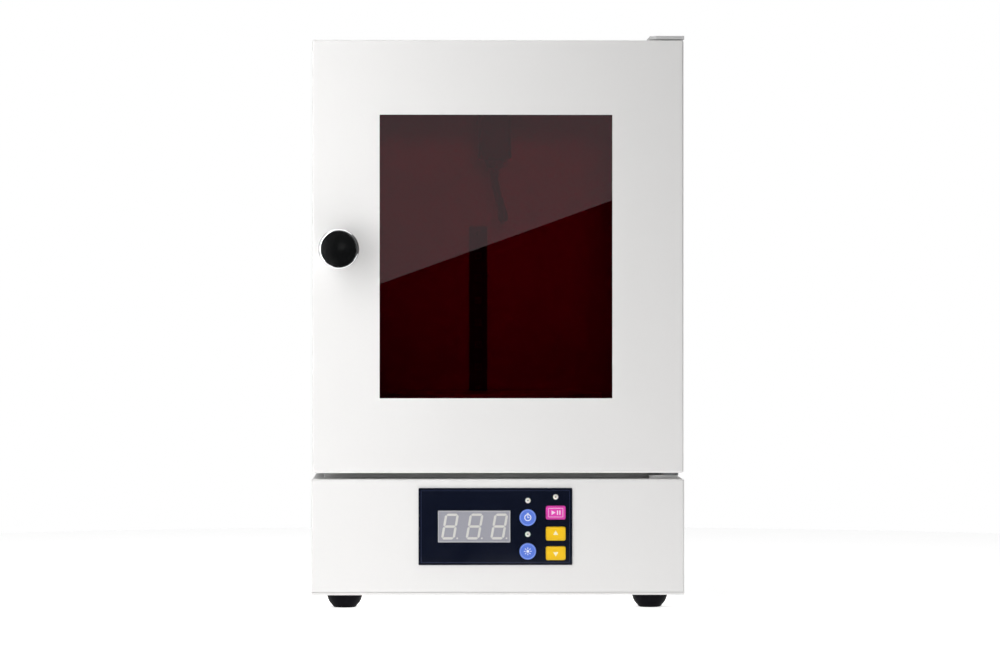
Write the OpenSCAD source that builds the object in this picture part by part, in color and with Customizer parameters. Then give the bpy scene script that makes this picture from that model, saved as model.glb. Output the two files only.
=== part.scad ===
// Light curing cabinet: a chamber with a hinged window door, standing on a control base.
// Millimetres, +Z up. The door faces -Y. The origin is on the table, under the middle.

/* [Body] */
// Width of the base and of the chamber cabinet
body_w = 250; // [236:1:290]
// Depth from the door's face to the rear covers
body_d = 222; // [212:1:270]
// Height of the chamber cabinet
upper_h = 290.8; // [282:0.1:340]
// Height of the control base, without its feet
base_h = 77.6; // [72:0.1:110]
// Height of the recessed seam between base and cabinet
seam_h = 4.1; // [3.6:0.1:9]
// How far the riser in the seam stands back from the sides
seam_inset = 8; // [4:0.5:14]
// Thickness of the outer sheet steel
sheet_t = 1.2; // [0.8:0.1:2]
// Width of the folded rims that carry the rear covers
rim_w = 12; // [9:0.5:14]
// Thickness of the pan under the base
bottom_t = 1.6; // [1:0.1:2.5]

/* [Door] */
// Thickness of the door
door_t = 22; // [20:0.5:30]
// Gap between the door's back and the cabinet
door_gap = 4; // [3.6:0.1:7]
// How much narrower than the body the door is, on each side
door_inset = 0.5; // [0:0.1:2]
// How far the door's top lies below the cabinet's top
door_drop = 0.6; // [0.3:0.1:2]
// Thickness of the door's inner sheet
inner_t = 1; // [0.8:0.1:1.6]
// Depth of the rim folded round the inner sheet
inner_rim = 6; // [3:0.5:7]

/* [Window] */
// Width of the window
win_w = 156; // [120:1:176]
// Height of the window
win_h = 190; // [140:1:206]
// How far the window's middle lies to the right of the door's
win_shift = -1.3; // [-5:0.1:5]
// Thickness of the filter pane
pane_t = 3; // [2:0.5:5]
// How far the pane reaches past the window's edge
pane_lap = 7; // [4:0.5:8]
// Thickness of the frame that clamps the pane
retainer_t = 1.2; // [0.8:0.1:2]
// Width of the retainer's flange
retainer_flange = 17; // [15:0.5:20]

/* [Knob] */
// Diameter of the knob's head
knob_d = 27; // [22:0.5:32]
// Diameter of the knob's inset face
knob_face_d = 23; // [18:0.1:25]
// How far the knob stands out of the door
knob_out = 25; // [20:0.5:35]
// Length of the knob's head
knob_head = 12; // [8:0.5:14]
// Diameter of the knob's waist
knob_waist_d = 13; // [10:0.5:16]
// Distance from the door's free edge to the knob's middle
knob_edge = 18.3; // [17:0.1:22]
// Height of the knob's middle above the door's
knob_lift = 4.5; // [-20:0.5:20]

/* [Hinge] */
// Distance from the door's hinged edge to the hinge line
hinge_edge = 9; // [8:0.1:9.8]
// Distance from the door's face to the hinge line
hinge_set = 9; // [8:0.1:10]
// Diameter of the hinge pins
hinge_pin_d = 5; // [4:0.1:6]
// Reach of the hinge pins into the door
hinge_pin_reach = 11; // [8:0.5:16]
// Wall of the hinge bushes
bush_wall = 1.5; // [1:0.1:2]
// Width of the hinge plates
plate_w = 23; // [20:0.5:26]
// Thickness of the hinge plates
plate_t = 2.4; // [1.8:0.1:3]
// How far the upper hinge plate reaches over the cabinet
plate_reach = 30; // [24:1:40]

/* [Chamber] */
// Width inside the chamber
chamber_w = 206; // [190:1:208]
// Height inside the chamber
chamber_h = 234; // [215:1:236]
// Height of the chamber's floor above the cabinet's underside
floor_rise = 31; // [26:0.5:34]
// Depth of the space behind the chamber
rear_space = 24; // [20:0.5:30]
// Thickness of the mirror liner
liner_t = 0.8; // [0.5:0.1:1.2]
// Width of the door gasket
gasket_w = 6; // [4:0.5:7]
// Distance from the chamber's mouth to the gasket
gasket_land = 1.5; // [0.5:0.1:2]

/* [Lamp bars] */
// Width of a lamp bar
bar_w = 13; // [10:0.5:16]
// Thickness of a lamp bar
bar_t = 3; // [2:0.5:5]
// Length of the lamp bars on the side walls
bar_h = 206; // [160:1:208]
// Length of the lamp bar on the rear wall
rear_bar_h = 125; // [80:1:208]
// How far the rear bar lies to the right of the middle
rear_bar_shift = -10; // [-30:1:20]
// Side of a lamp chip
chip_w = 5; // [3:0.1:7]
// How far a lamp chip stands out of its bar
chip_out = 1.6; // [1:0.1:2.5]
// Distance between lamp chips
chip_pitch = 16; // [10:0.5:30]

/* [Turntable] */
// Diameter of the turntable
table_d = 150; // [110:1:160]
// Thickness of the turntable
table_t = 4; // [3:0.5:6]
// Height of the turntable's top above the chamber's floor
table_rise = 21; // [18:0.5:28]
// Diameter of the turntable's hub
hub_d = 26; // [20:0.5:34]
// Diameter of the drive shaft
shaft_d = 6; // [4:0.1:8]
// Diameter of the gearmotor
motor_d = 50; // [40:1:56]
// Height of the gearmotor
motor_h = 17; // [14:0.5:20]
// Diameter of the gearmotor's bearing neck
motor_neck_d = 11; // [9:0.5:14]

/* [Hanger] */
// Side of the hanger's housing
hanger_w = 23; // [18:0.5:30]
// Height of the hanger's housing
hanger_h = 49.5; // [40:0.5:60]
// Height of the cone under the housing
hanger_cone_h = 7; // [5:0.5:12]
// Diameter of the hanging arm
arm_d = 5.6; // [3:0.1:6]
// Drop of the arm's straight stretch below the cone
arm_drop = 12; // [8:0.5:20]
// Drop of the arm's slanted stretch
arm_slant_drop = 22; // [12:0.5:30]
// Sideways reach of the arm's tip
arm_reach = 6; // [2:0.5:15]
// Diameter of the arm's tip
arm_tip_d = 7.6; // [6:0.1:9]

/* [Control panel] */
// Width of the control panel
panel_w = 103; // [100:0.5:120]
// Height of the control panel
panel_h = 51.6; // [51:0.1:60]
// How far the panel's middle lies to the right of the base's
panel_shift = -1.75; // [-30:0.25:30]
// Height of the panel's middle above the base's underside
panel_up = 45.9; // [40:0.1:47]
// Thickness of the panel's glossy face
face_t = 0.8; // [0.5:0.1:1.2]
// Thickness of the panel's carrier
carrier_t = 2.2; // [1.5:0.1:3]
// How far the face laps over the carrier's edge
panel_lip = 2.5; // [1.5:0.1:3]
// Thickness of the control board
board_t = 1.6; // [1:0.1:2]
// Distance from the carrier's back to the board
board_set = 6.5; // [6.2:0.1:9]

/* [Display] */
// Width of the display
display_w = 48.8; // [46:0.1:50]
// Height of the display
display_h = 21.6; // [20:0.1:26]
// Height of a digit
digit_h = 17.4; // [12:0.1:18]
// Width of a digit
digit_w = 9.3; // [7:0.1:11]
// Distance between digits
digit_pitch = 16.5; // [13:0.1:16.8]
// How far the digits lie to the right of the display's middle
digit_shift = 0.3; // [-1:0.1:0.5]
// Width of a digit's strokes
stroke_w = 1.6; // [1:0.1:2]
// Slant of the digits in degrees
digit_slant = 8; // [0:0.5:10]

/* [Keys] */
// Diameter of the round keys
round_key_d = 11.1; // [8:0.1:12]
// Width of the rectangular keys
key_w = 13.2; // [9:0.1:14]
// Height of the rectangular keys
key_h = 9.2; // [7:0.1:10]
// Corner radius of the rectangular keys
key_r = 1.3; // [0.5:0.1:2.5]
// How far the keys stand out of the panel
key_out = 0.5; // [0.2:0.1:1]
// Travel of the keys
key_travel = 0.5; // [0.2:0.1:0.8]
// Diameter of the indicator lamps
lamp_d = 3.7; // [2:0.1:4]

/* [Feet] */
// Height of the feet
foot_h = 9.4; // [7:0.1:16]
// Diameter of the feet at the base
foot_top_d = 23.5; // [18:0.5:28]
// Diameter of the feet at the table
foot_low_d = 15; // [12:0.5:20]
// Distance from the base's sides to the feet's middles
foot_inset = 22; // [18:0.5:40]

/* [Fan] */
// Side of the fan's frame
fan_w = 60; // [50:1:70]
// Depth of the fan's frame
fan_t = 15; // [12:0.5:17]
// Diameter of the fan's air way
fan_bore_d = 57; // [44:0.5:58]
// Diameter of the fan's hub
fan_hub_d = 25; // [18:0.5:30]
// Distance between the fan's screws
fan_pitch = 50; // [42:0.5:52]
// Distance from the cabinet's top to the fan's middle
fan_down = 62; // [50:1:110]
// Number of fan blades
fan_blades = 7; // [5:1:9]
// Wire diameter of the finger guard
guard_wire = 1.6; // [1:0.1:2]

/* [Inlet and switch] */
// Width of the inlet's flange
inlet_w = 48; // [44:0.5:52]
// Height of the inlet's flange
inlet_h = 23; // [22:0.5:28]
// Width of the inlet's socket
socket_w = 24.6; // [24:0.1:26]
// Height of the inlet's socket
socket_h = 16.8; // [16:0.1:17.5]
// Depth of the inlet's socket
socket_deep = 15.5; // [12:0.5:18]
// How far the inlet lies to the left of the middle, seen from behind
inlet_shift = 70; // [50:1:90]
// Length of the rocker
rocker_l = 19; // [15:0.5:22]
// Width of the rocker
rocker_w = 10; // [8:0.5:13]
// Tilt of the rocker each way from level, in degrees
rocker_tilt = 10; // [6:0.5:12]
// Distance between the inlet's middle and the switch's
switch_pitch = 42; // [38:0.5:50]

/* [Fits] */
// Gap on each side of keys, lamps and display
slip = 0.2; // [0.1:0.05:0.4]
// Radial clearance of pins and shafts
run_fit = 0.05; // [0.02:0.01:0.09]
// Gap left in front of soft and magnetic stops
soft_gap = 0.3; // [0.2:0.05:0.6]
// Gap between nested sheets
nest_gap = 0.2; // [0.1:0.05:0.4]

/* [Hidden] */
$fn = 64;
e = 0.1;                  // overshoot of cuts past a face

// Levels, from the table up
z_base = foot_h;
z_shell = z_base + bottom_t + soft_gap;
z_seam = z_base + base_h;
z_cab = z_seam + seam_h;
z_top = z_cab + upper_h;
z_door = z_top - door_drop;
z_door_mid = (z_cab + z_door) / 2;

// Planes, from the front to the rear
socket_lip = 2.8;
cover_head_h = 2;
pivot_set = 1.5;          // the rocker's pivot lies this far inside the cover's face
rocker_mid = 3.4;         // height of the rocker's middle above its pivot
rocker_end = rocker_mid + rocker_l / 2 * tan(rocker_tilt);
rocker_out = rocker_end * cos(rocker_tilt) + rocker_l / 2 * sin(rocker_tilt) - pivot_set;
rear_out = max(socket_lip + cover_head_h, rocker_out);
front_y = knob_out - (knob_out + body_d + rear_out) / 2;
back_y = front_y + body_d;
cover_y = back_y - sheet_t;
door_y = front_y + door_t;
cab_y = door_y + door_gap;

half_w = body_w / 2;
door_half = half_w - door_inset;

// Chamber
ch_half = chamber_w / 2;
ch_low = z_cab + floor_rise;
ch_high = ch_low + chamber_h;
ch_front = cab_y + sheet_t;
ch_rear = cover_y - rear_space;
mid_y = (ch_front + ch_rear) / 2;

// Window
pane_y = front_y + sheet_t;
flange_y = pane_y + pane_t;
sleeve_grow = 1;          // the retainer's sleeve stands clear of the window's edge

// Knob and catch
knob_x = -(door_half - knob_edge);
knob_z = z_door_mid + knob_lift;
knob_screw_d = 5;
knob_screw_reach = 12;
cap_seat = 3;             // depth of the seat for the knob's face
cap_dome = 1;             // rise of the knob's domed face
knob_ease = 1;            // rounded edge of the knob's head
knob_foot = 2;            // how far the knob's foot reaches past its waist
knob_foot_h = 1.5;
knob_nut_d = 9;
knob_nut_h = 3;
catch_w = 9;
catch_h = 44;
catch_d = 14;
catch_edge = sheet_t + nest_gap + catch_w / 2;
catch_x = -(half_w - catch_edge);
strike_t = 0.8;
pole_t = 1.6;
pole_short = 5;           // how much shorter the poles are than the catch, at each end
pole_step = 1;            // how far the poles stand out of the magnet
catch_gap = 1;            // gap round the poles in the cabinet's front
strike_margin = 2;        // how much shorter the strike plate is than the catch, at each end

// Hinge
hinge_x = door_half - hinge_edge;
hinge_y = front_y + hinge_set;
bush_d = hinge_pin_d + 2 * run_fit + 2 * bush_wall;
washer_wall = 2;          // how far a bush's washer reaches past its barrel
plate_set = 1;            // the plates start this far behind the door's face
plate_cut = 4;            // corner cut of the plates
upper_rows = [8, 22];     // distances from the cabinet's front to the upper plate's screws
lower_rows = [6, 17];     // distances from the lower plate's inner side to its screws
lower_row_end = 5;        // distance from the lower plate's rear edge to its screws
flat_head_d = 6.8;
flat_head_h = 1.2;
flat_shank_d = 3.8;
flat_shank = 7;

// Base and seam
pan_rise = 8;             // height of the flange folded round the pan
pan_slot_w = 4;
pan_slot_l = 40;
pan_slot_pitch = 12;
pan_slots = 7;
foot_recess_d = 8;
foot_recess_h = 4;
foot_head_d = 7;
foot_head_h = 2.5;
foot_screw_past = 4.5;    // how far a foot screw reaches past the pan
neck_set = 12;            // distance from the door's back to the riser
plate_room = 2;           // gap between the lower hinge plate and the riser
neck_y = door_y + neck_set;
lower_plate_end = neck_y - plate_room;
cable_d = 18;
cable_room = 7;           // gap between the cable hole and the rear rim
cable_y = cover_y - rim_w - cable_room - cable_d / 2;

// Turntable
disc_top = ch_low + table_rise;
disc_low = disc_top - table_t;
motor_top = ch_low - liner_t;
neck_rise = 2.5;          // the motor's neck above the floor
shaft_seat = 5;           // height of the shaft's lower end in the gearmotor
shaft_low = motor_top - motor_h + shaft_seat;
hub_seat = 3;             // how far the hub's spigot reaches into the disc
hub_clear = 1;            // gap between the hub and the motor's neck
hub_flange_t = 3;
shaft_short = 2;          // how far the shaft ends below the disc
ear_t = 2;
ear_w = 14;
ear_past = 6;             // how far the ears reach past their screws
spigot_d = 14;
motor_ear = 35;           // distance from the shaft to the motor's screws
screw_bore = flat_shank_d + 0.2;

// Panel
panel_z = z_base + panel_up;
cut_w = panel_w - 2 * panel_lip;
cut_h = panel_h - 2 * panel_lip;
face_y = front_y - face_t;
carrier_y = front_y + carrier_t;
board_y = carrier_y + board_set;
key_flange = 1.2;         // width of the flange that keeps a key in
key_lip_t = 1;            // thickness of that flange
key_rest = 0.15;          // gap between a key's flange and the carrier
key_back = carrier_y + key_rest + key_lip_t;
plunger_gap = 0.12;       // gap between a pressed key and its switch
plunger_y = key_back + key_travel + plunger_gap;
plunger_d = 3.4;
tact_w = 6;
tact_t = 2.6;

// Places on the panel, measured from its middle
display_at = [-14.25, 0];
timer_at = [21.7, 6];
mode_at = [21.7, -16.6];
run_at = [40.4, 9.3];
up_at = [40.4, -4.8];
down_at = [40.4, -17.9];
lamps_at = [[21.8, 17.4], [40.4, 19.8], [21.7, -5.2]];
post_d = 3.6;
post_z = cut_h / 2 - 3.3;
posts_at = [[-cut_w / 2 + 4, post_z], [-cut_w / 2 + 4, -post_z], [12.7, post_z],
    [12.7, -post_z], [cut_w / 2 - 2.6, post_z]];
segment_out = 0.15;       // how far the digits stand out of the display's face
display_set = 0.5;        // how far the display lies behind the panel's face
display_y = face_y + display_set;
point_d = 1.6;            // diameter of a digit's decimal point
lamp_out = 0.3;           // how far the lamps stand out of the panel's face

// Fan
fan_z = z_top - fan_down;
fan_y = cover_y - fan_t;
fan_shaft_d = 3;
fan_nose = 3.2;           // distance from the frame's front to the rotor
rotor_h = fan_t - fan_nose - 1.2;
strut_w = 3;
strut_t = 2;
blade_tip = 0.8;          // gap between the blades and the air way
fan_head_d = 7;
fan_head_h = 1.8;
guard_pitch = 14;         // difference between the guard rings' diameters
guard_core = 6;           // distance from the middle to the guard's spokes
fan_screw_d = 4;
guard_y = back_y + guard_wire / 2;
vent_w = 40;
vent_h = 3;
vent_r = 1.4;
vent_pitch = 8;
vent_x = 45;
vent_edges = [5, 11];     // distances of the liner's upright air slots from the side walls
vent_gap = 6;             // gap between two upright slots
vent_rise = 40;           // height of the lowest air slot above the cabinet's underside

// Inlet and switch
inlet_x = inlet_shift;
inlet_z = z_seam - base_h / 2;
switch_x = inlet_x - switch_pitch;
inlet_wall = 1.8;
inlet_screw_x = 20;       // distance from the inlet's middle to its screws
socket_back = 4;          // thickness of the inlet behind its socket
socket_cut = 4.5;         // cut upper corners of the socket
pin_w = 2;
pin_h = 4;
pin_deep = 0.7;           // how far the pins' ends lie inside the socket's mouth
pins_at = [[-7, -2], [7, -2], [0, 3.6]];
pivot_y = back_y - pivot_set;
pivot_d = 2;
rocker_slot_l = rocker_l + 2.4;
switch_wall = 1.6;
switch_lip = 1.6;
switch_deep = 14;

// Covers
cover_screw_d = 3;
cover_head_d = 5.6;
cover_screw_l = 6;        // length of a cover screw under its head
cover_edge = 2;           // room between a cover screw and the shell's folded top
cover_x = half_w - sheet_t - rim_w / 2;
base_cover_z = [z_shell + rim_w, z_seam - sheet_t - rim_w / 2 - cover_edge];
cab_cover_z = [z_cab + 2 * rim_w, (z_cab + z_top) / 2, z_top - sheet_t - rim_w / 2 - cover_edge];

// A box between two opposite corners
module block(low, high) translate(low) cube(high - low);

// Round bars along the axes, starting at a point
module rod_x(at, d, l) translate(at) rotate([0, 90, 0]) cylinder(d = d, h = l);
module rod_y(at, d, l) translate(at) rotate([-90, 0, 0]) cylinder(d = d, h = l);
module rod_z(at, d, l) translate(at) cylinder(d = d, h = l);

// A rectangle with round corners, round the origin
module round_rect(w, h, r) {
    square([w - 2 * r, h], center = true);
    square([w, h - 2 * r], center = true);
    for (x = [-1, 1], z = [-1, 1]) translate([x * (w / 2 - r), z * (h / 2 - r)]) circle(r);
}

// Puts a flat XY outline upright, so that it faces -Y and is extruded towards +Y
module upright(at, l) translate([at.x, at.y + l, at.z]) rotate([90, 0, 0]) linear_extrude(l) children();

// A block in the window's place, grown on all sides
module window_block(grow, y0, y1)
    block([win_shift - win_w / 2 - grow, y0, z_door_mid - win_h / 2 - grow],
        [win_shift + win_w / 2 + grow, y1, z_door_mid + win_h / 2 + grow]);

// Rear rim of a folded shell: sides and top, with an open middle
module rear_rim(z0, z1) difference() {
    block([-half_w + sheet_t, cover_y - sheet_t, z0], [half_w - sheet_t, cover_y, z1]);
    block([-half_w + sheet_t + rim_w, cover_y - sheet_t - e, z0 - e],
        [half_w - sheet_t - rim_w, cover_y + e, z1 - rim_w]);
}

// Holes or screws at each place where a rear cover is fastened
module at_base_cover() for (x = [-cover_x, cover_x], z = base_cover_z) translate([x, 0, z]) children();
module at_cab_cover() for (x = [-cover_x, cover_x], z = cab_cover_z) translate([x, 0, z]) children();
module cover_hole() rod_y([0, cover_y - sheet_t - e, 0], cover_screw_d + slip, 3 * sheet_t + 2 * e);
module cover_screw() {
    rod_y([0, back_y, 0], cover_head_d, cover_head_h);
    rod_y([0, back_y - cover_screw_l, 0], cover_screw_d, cover_screw_l + e);
}

module at_inlet_screws() for (x = [-1, 1]) translate([inlet_x + x * inlet_screw_x, 0, inlet_z]) children();

module cable_hole(z0, z1) rod_z([0, cable_y, z0 - e], cable_d, z1 - z0 + 2 * e);

// Base

module base_shell() color("whitesmoke") {
    difference() {
        block([-half_w, front_y, z_shell], [half_w, cover_y, z_seam]);
        block([-half_w + sheet_t, front_y + sheet_t, z_shell - e],
            [half_w - sheet_t, cover_y + e, z_seam - sheet_t]);
        block([panel_shift - cut_w / 2 - slip, front_y - e, panel_z - cut_h / 2 - slip],
            [panel_shift + cut_w / 2 + slip, front_y + sheet_t + e, panel_z + cut_h / 2 + slip]);
        cable_hole(z_seam - sheet_t, z_seam);
        lower_plate_holes();
    }
    difference() {
        rear_rim(z_shell, z_seam - sheet_t);
        at_base_cover() cover_hole();
    }
}

module base_bottom() color("gainsboro") difference() {
    union() {
        block([-half_w, front_y, z_base], [half_w, back_y, z_base + bottom_t]);
        difference() {
            block([-half_w + sheet_t + nest_gap, front_y + sheet_t + nest_gap, z_base],
                [half_w - sheet_t - nest_gap, cover_y - sheet_t - nest_gap, z_base + pan_rise]);
            block([-half_w + 2 * sheet_t + nest_gap, front_y + 2 * sheet_t + nest_gap, z_base - e],
                [half_w - 2 * sheet_t - nest_gap, cover_y - 2 * sheet_t - nest_gap, z_base + pan_rise + e]);
        }
    }
    at_feet() rod_z([0, 0, z_base - e], screw_bore, bottom_t + 2 * e);
    for (i = [0:pan_slots - 1]) translate([(i - (pan_slots - 1) / 2) * pan_slot_pitch, mid_y, 0])
        block([-pan_slot_w / 2, -pan_slot_l / 2, z_base - e],
            [pan_slot_w / 2, pan_slot_l / 2, z_base + bottom_t + e]);
}

module base_back() color("whitesmoke") difference() {
    block([-half_w, cover_y, z_shell], [half_w, back_y, z_seam]);
    at_base_cover() cover_hole();
    inlet_cut = [socket_w / 2 + inlet_wall + slip, socket_h / 2 + inlet_wall + slip];
    block([inlet_x - inlet_cut.x, cover_y - e, inlet_z - inlet_cut.y],
        [inlet_x + inlet_cut.x, back_y + e, inlet_z + inlet_cut.y]);
    block([switch_x - rocker_w / 2 - switch_wall - 2 * slip, cover_y - e,
            inlet_z - rocker_slot_l / 2 - switch_wall - slip],
        [switch_x + rocker_w / 2 + switch_wall + 2 * slip, back_y + e,
            inlet_z + rocker_slot_l / 2 + switch_wall + slip]);
    at_inlet_screws() rod_y([0, cover_y - e, 0], cover_screw_d + slip, sheet_t + 2 * e);
}

module at_feet() for (x = [-1, 1], y = [front_y + foot_inset, back_y - foot_inset])
    translate([x * (half_w - foot_inset), y, 0]) children();

module rubber_feet() color("#171819") at_feet() difference() {
    cylinder(d1 = foot_low_d, d2 = foot_top_d, h = foot_h);
    rod_z([0, 0, -e], foot_recess_d, foot_recess_h + e);
    rod_z([0, 0, 0], screw_bore, foot_h + e);
}

module foot_screws() color("silver") at_feet() {
    rod_z([0, 0, foot_recess_h - foot_head_h], foot_head_d, foot_head_h);
    rod_z([0, 0, foot_recess_h - e], flat_shank_d, z_base + bottom_t + foot_screw_past - foot_recess_h + e);
}

module neck_plate() color("gray") difference() {
    block([-half_w + seam_inset, neck_y, z_seam], [half_w - seam_inset, back_y - seam_inset, z_cab]);
    cable_hole(z_seam, z_cab);
}

// Cabinet

module cabinet_shell() color("whitesmoke") {
    difference() {
        block([-half_w, cab_y, z_cab], [half_w, cover_y, z_top]);
        block([-half_w + sheet_t, cab_y - e, z_cab - e], [half_w - sheet_t, cover_y + e, z_top - sheet_t]);
        upper_plate_holes();
    }
    difference() {
        rear_rim(z_cab + sheet_t, z_top - sheet_t);
        at_cab_cover() cover_hole();
    }
}

module cabinet_floor() color("gainsboro") difference() {
    block([-half_w + sheet_t, cab_y, z_cab], [half_w - sheet_t, cover_y, z_cab + sheet_t]);
    cable_hole(z_cab, z_cab + sheet_t);
}

module cabinet_front() color("whitesmoke") difference() {
    block([-half_w + sheet_t, cab_y, z_cab + sheet_t], [half_w - sheet_t, ch_front, z_top - sheet_t]);
    block([-ch_half, cab_y - e, ch_low], [ch_half, ch_front + e, ch_high]);
    block([catch_x - catch_w / 2 - e, cab_y - e, knob_z - catch_h / 2 + pole_short - catch_gap],
        [catch_x + catch_w / 2 + e, ch_front + e, knob_z + catch_h / 2 - pole_short + catch_gap]);
}

module cabinet_back() color("whitesmoke") difference() {
    block([-half_w, cover_y, z_cab], [half_w, back_y, z_top]);
    rod_y([0, cover_y - e, fan_z], fan_bore_d, sheet_t + 2 * e);
    at_fan_corners() rod_y([0, cover_y - e, 0], fan_screw_d + 0.3, sheet_t + 2 * e);
    at_cab_cover() cover_hole();
    for (x = [-vent_x, vent_x], i = [0:5]) translate([x, 0, z_cab + vent_rise + i * vent_pitch])
        upright([0, cover_y - e, 0], sheet_t + 2 * e) round_rect(vent_w, vent_h, vent_r);
}

module cover_screws() color("silver") {
    at_base_cover() cover_screw();
    at_cab_cover() cover_screw();
    at_inlet_screws() translate([0, socket_lip, 0]) cover_screw();
}

// Liner

module liner_side(x0) color("lightsteelblue")
    block([x0, ch_front, ch_low - liner_t], [x0 + liner_t, ch_rear, ch_high + liner_t]);

module liner_left() liner_side(-ch_half - liner_t);

module liner_right() liner_side(ch_half);

module liner_back() color("lightsteelblue") difference() {
    block([-ch_half - liner_t, ch_rear, ch_low - liner_t],
        [ch_half + liner_t, ch_rear + liner_t, ch_high + liner_t]);
    for (side = [-1, 1], edge = vent_edges, i = [0:2])
        upright([side * (ch_half - edge), ch_rear - e, fan_z - i * (vent_w + vent_gap)], liner_t + 2 * e)
            round_rect(vent_h, vent_w, vent_r);
}

module liner_ceiling() color("lightsteelblue")
    block([-ch_half, ch_front, ch_high], [ch_half, ch_rear, ch_high + liner_t]);

module liner_floor() color("lightsteelblue") difference() {
    block([-ch_half, ch_front, ch_low - liner_t], [ch_half, ch_rear, ch_low]);
    rod_z([0, mid_y, ch_low - liner_t - e], motor_neck_d + 0.4, liner_t + 2 * e);
    at_motor_ears() rod_z([0, 0, -liner_t - e], screw_bore, liner_t + 2 * e);
}

// Lamp bars: one on the rear wall and one on each side wall

bar_low = (ch_low + ch_high - bar_h) / 2;

module at_rear_bar() translate([rear_bar_shift, ch_rear, bar_low]) children();
module at_side_bars() for (side = [-1, 1])
    translate([side * ch_half, mid_y, bar_low]) rotate(-90 * side) children();

module lamp_bar(length) block([-bar_w / 2, -bar_t, 0], [bar_w / 2, 0, length]);
module lamp_chips(length) for (z = [chip_pitch / 2:chip_pitch:length - chip_w / 2])
    block([-chip_w / 2, -bar_t - chip_out, z - chip_w / 2], [chip_w / 2, -bar_t, z + chip_w / 2]);

module led_bars() color("#2a2b2e") {
    at_rear_bar() lamp_bar(rear_bar_h);
    at_side_bars() lamp_bar(bar_h);
}

module led_chips() color("#efe9c8") {
    at_rear_bar() lamp_chips(rear_bar_h);
    at_side_bars() lamp_chips(bar_h);
}

// Hinge and catch

module plate_outline(reach) {
    x0 = half_w - plate_w;
    polygon([[x0, reach], [x0, front_y + plate_set + 2 * plate_cut], [x0 + plate_cut, front_y + plate_set],
        [half_w, front_y + plate_set], [half_w, reach]]);
}

module at_upper_plate() for (y = upper_rows)
    translate([half_w - plate_w / 2, cab_y + y, z_top + plate_t]) children();
module at_lower_plate() for (x = lower_rows)
    translate([half_w - plate_w + x, lower_plate_end - lower_row_end, z_seam + plate_t]) children();
module flat_hole() {
    rod_z([0, 0, -flat_head_h - 0.1], flat_head_d + 0.2, flat_head_h + 1);
    rod_z([0, 0, -flat_shank - 1], screw_bore, flat_shank + 1);
}
module flat_screw() {
    rod_z([0, 0, -flat_head_h], flat_head_d, flat_head_h);
    rod_z([0, 0, -flat_shank], flat_shank_d, flat_shank);
}
module upper_plate_holes() at_upper_plate() flat_hole();
module lower_plate_holes() at_lower_plate() flat_hole();

module hinge_bracket_top() color("whitesmoke") difference() {
    translate([0, 0, z_top]) linear_extrude(plate_t) plate_outline(cab_y + plate_reach);
    upper_plate_holes();
    rod_z([hinge_x, hinge_y, z_top - e], hinge_pin_d, plate_t + 2 * e);
}

module hinge_bracket_bottom() color("whitesmoke") difference() {
    translate([0, 0, z_seam]) linear_extrude(plate_t) plate_outline(lower_plate_end);
    lower_plate_holes();
    rod_z([hinge_x, hinge_y, z_seam - e], hinge_pin_d, plate_t + 2 * e);
}

module hinge_pins() color("silver") {
    rod_z([hinge_x, hinge_y, z_door - hinge_pin_reach], hinge_pin_d,
        z_top + plate_t - z_door + hinge_pin_reach);
    rod_z([hinge_x, hinge_y, z_seam], hinge_pin_d, z_cab - z_seam + hinge_pin_reach);
}

module hinge_bush(z_washer, washer_t, side) difference() {
    union() {
        rod_z([hinge_x, hinge_y, z_washer], bush_d + 2 * washer_wall, washer_t);
        rod_z([hinge_x, hinge_y, side > 0 ? z_washer : z_washer + washer_t - hinge_pin_reach - 1],
            bush_d, hinge_pin_reach + 1);
    }
    rod_z([hinge_x, hinge_y, z_washer - hinge_pin_reach - 2], hinge_pin_d + 2 * run_fit, 3 * hinge_pin_reach);
}

lower_washer = z_cab - z_seam - plate_t - 0.1;

module hinge_bushes() color("ivory") {
    hinge_bush(z_door, door_drop - 0.1, -1);
    hinge_bush(z_seam + plate_t + 0.1, lower_washer, 1);
}

module flat_screws() color("silver") {
    at_upper_plate() flat_screw();
    at_lower_plate() flat_screw();
    at_motor_ears() translate([0, 0, flat_head_h]) flat_screw();
}

// The magnet lies between two pole plates, which reach through the cabinet's front
module magnet_catch() color("#303236") difference() {
    union() {
        block([catch_x - catch_w / 2, ch_front, knob_z - catch_h / 2],
            [catch_x + catch_w / 2, ch_front + catch_d, knob_z + catch_h / 2]);
        block([catch_x - catch_w / 2, door_y + strike_t + soft_gap, knob_z - catch_h / 2 + pole_short],
            [catch_x + catch_w / 2, ch_front, knob_z + catch_h / 2 - pole_short]);
    }
    block([catch_x - catch_w / 2 + pole_t, door_y, knob_z - catch_h],
        [catch_x + catch_w / 2 - pole_t, door_y + strike_t + soft_gap + pole_step, knob_z + catch_h]);
}

module strike_plate() color("silver")
    upright([catch_x, door_y, knob_z], strike_t) round_rect(catch_w - 1, catch_h - 2 * strike_margin, 2);

// Turntable

module at_motor_ears() for (x = [-1, 1]) translate([x * motor_ear, mid_y, ch_low]) children();

module gearmotor() color("silver") difference() {
    union() {
        rod_z([0, mid_y, motor_top - motor_h], motor_d, motor_h);
        rod_z([0, mid_y, motor_top - motor_h], motor_neck_d, motor_h + liner_t + neck_rise);
        translate([0, mid_y, motor_top - ear_t]) linear_extrude(ear_t)
            round_rect(2 * (motor_ear + ear_past), ear_w, 4);
    }
    rod_z([0, mid_y, shaft_low - 0.5], shaft_d + 2 * run_fit, 3 * motor_h);
    at_motor_ears() rod_z([0, 0, -liner_t - ear_t - e], screw_bore, ear_t + liner_t);
}

module drive_shaft() color("silver")
    rod_z([0, mid_y, shaft_low], shaft_d, disc_low - shaft_short - shaft_low);

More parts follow.
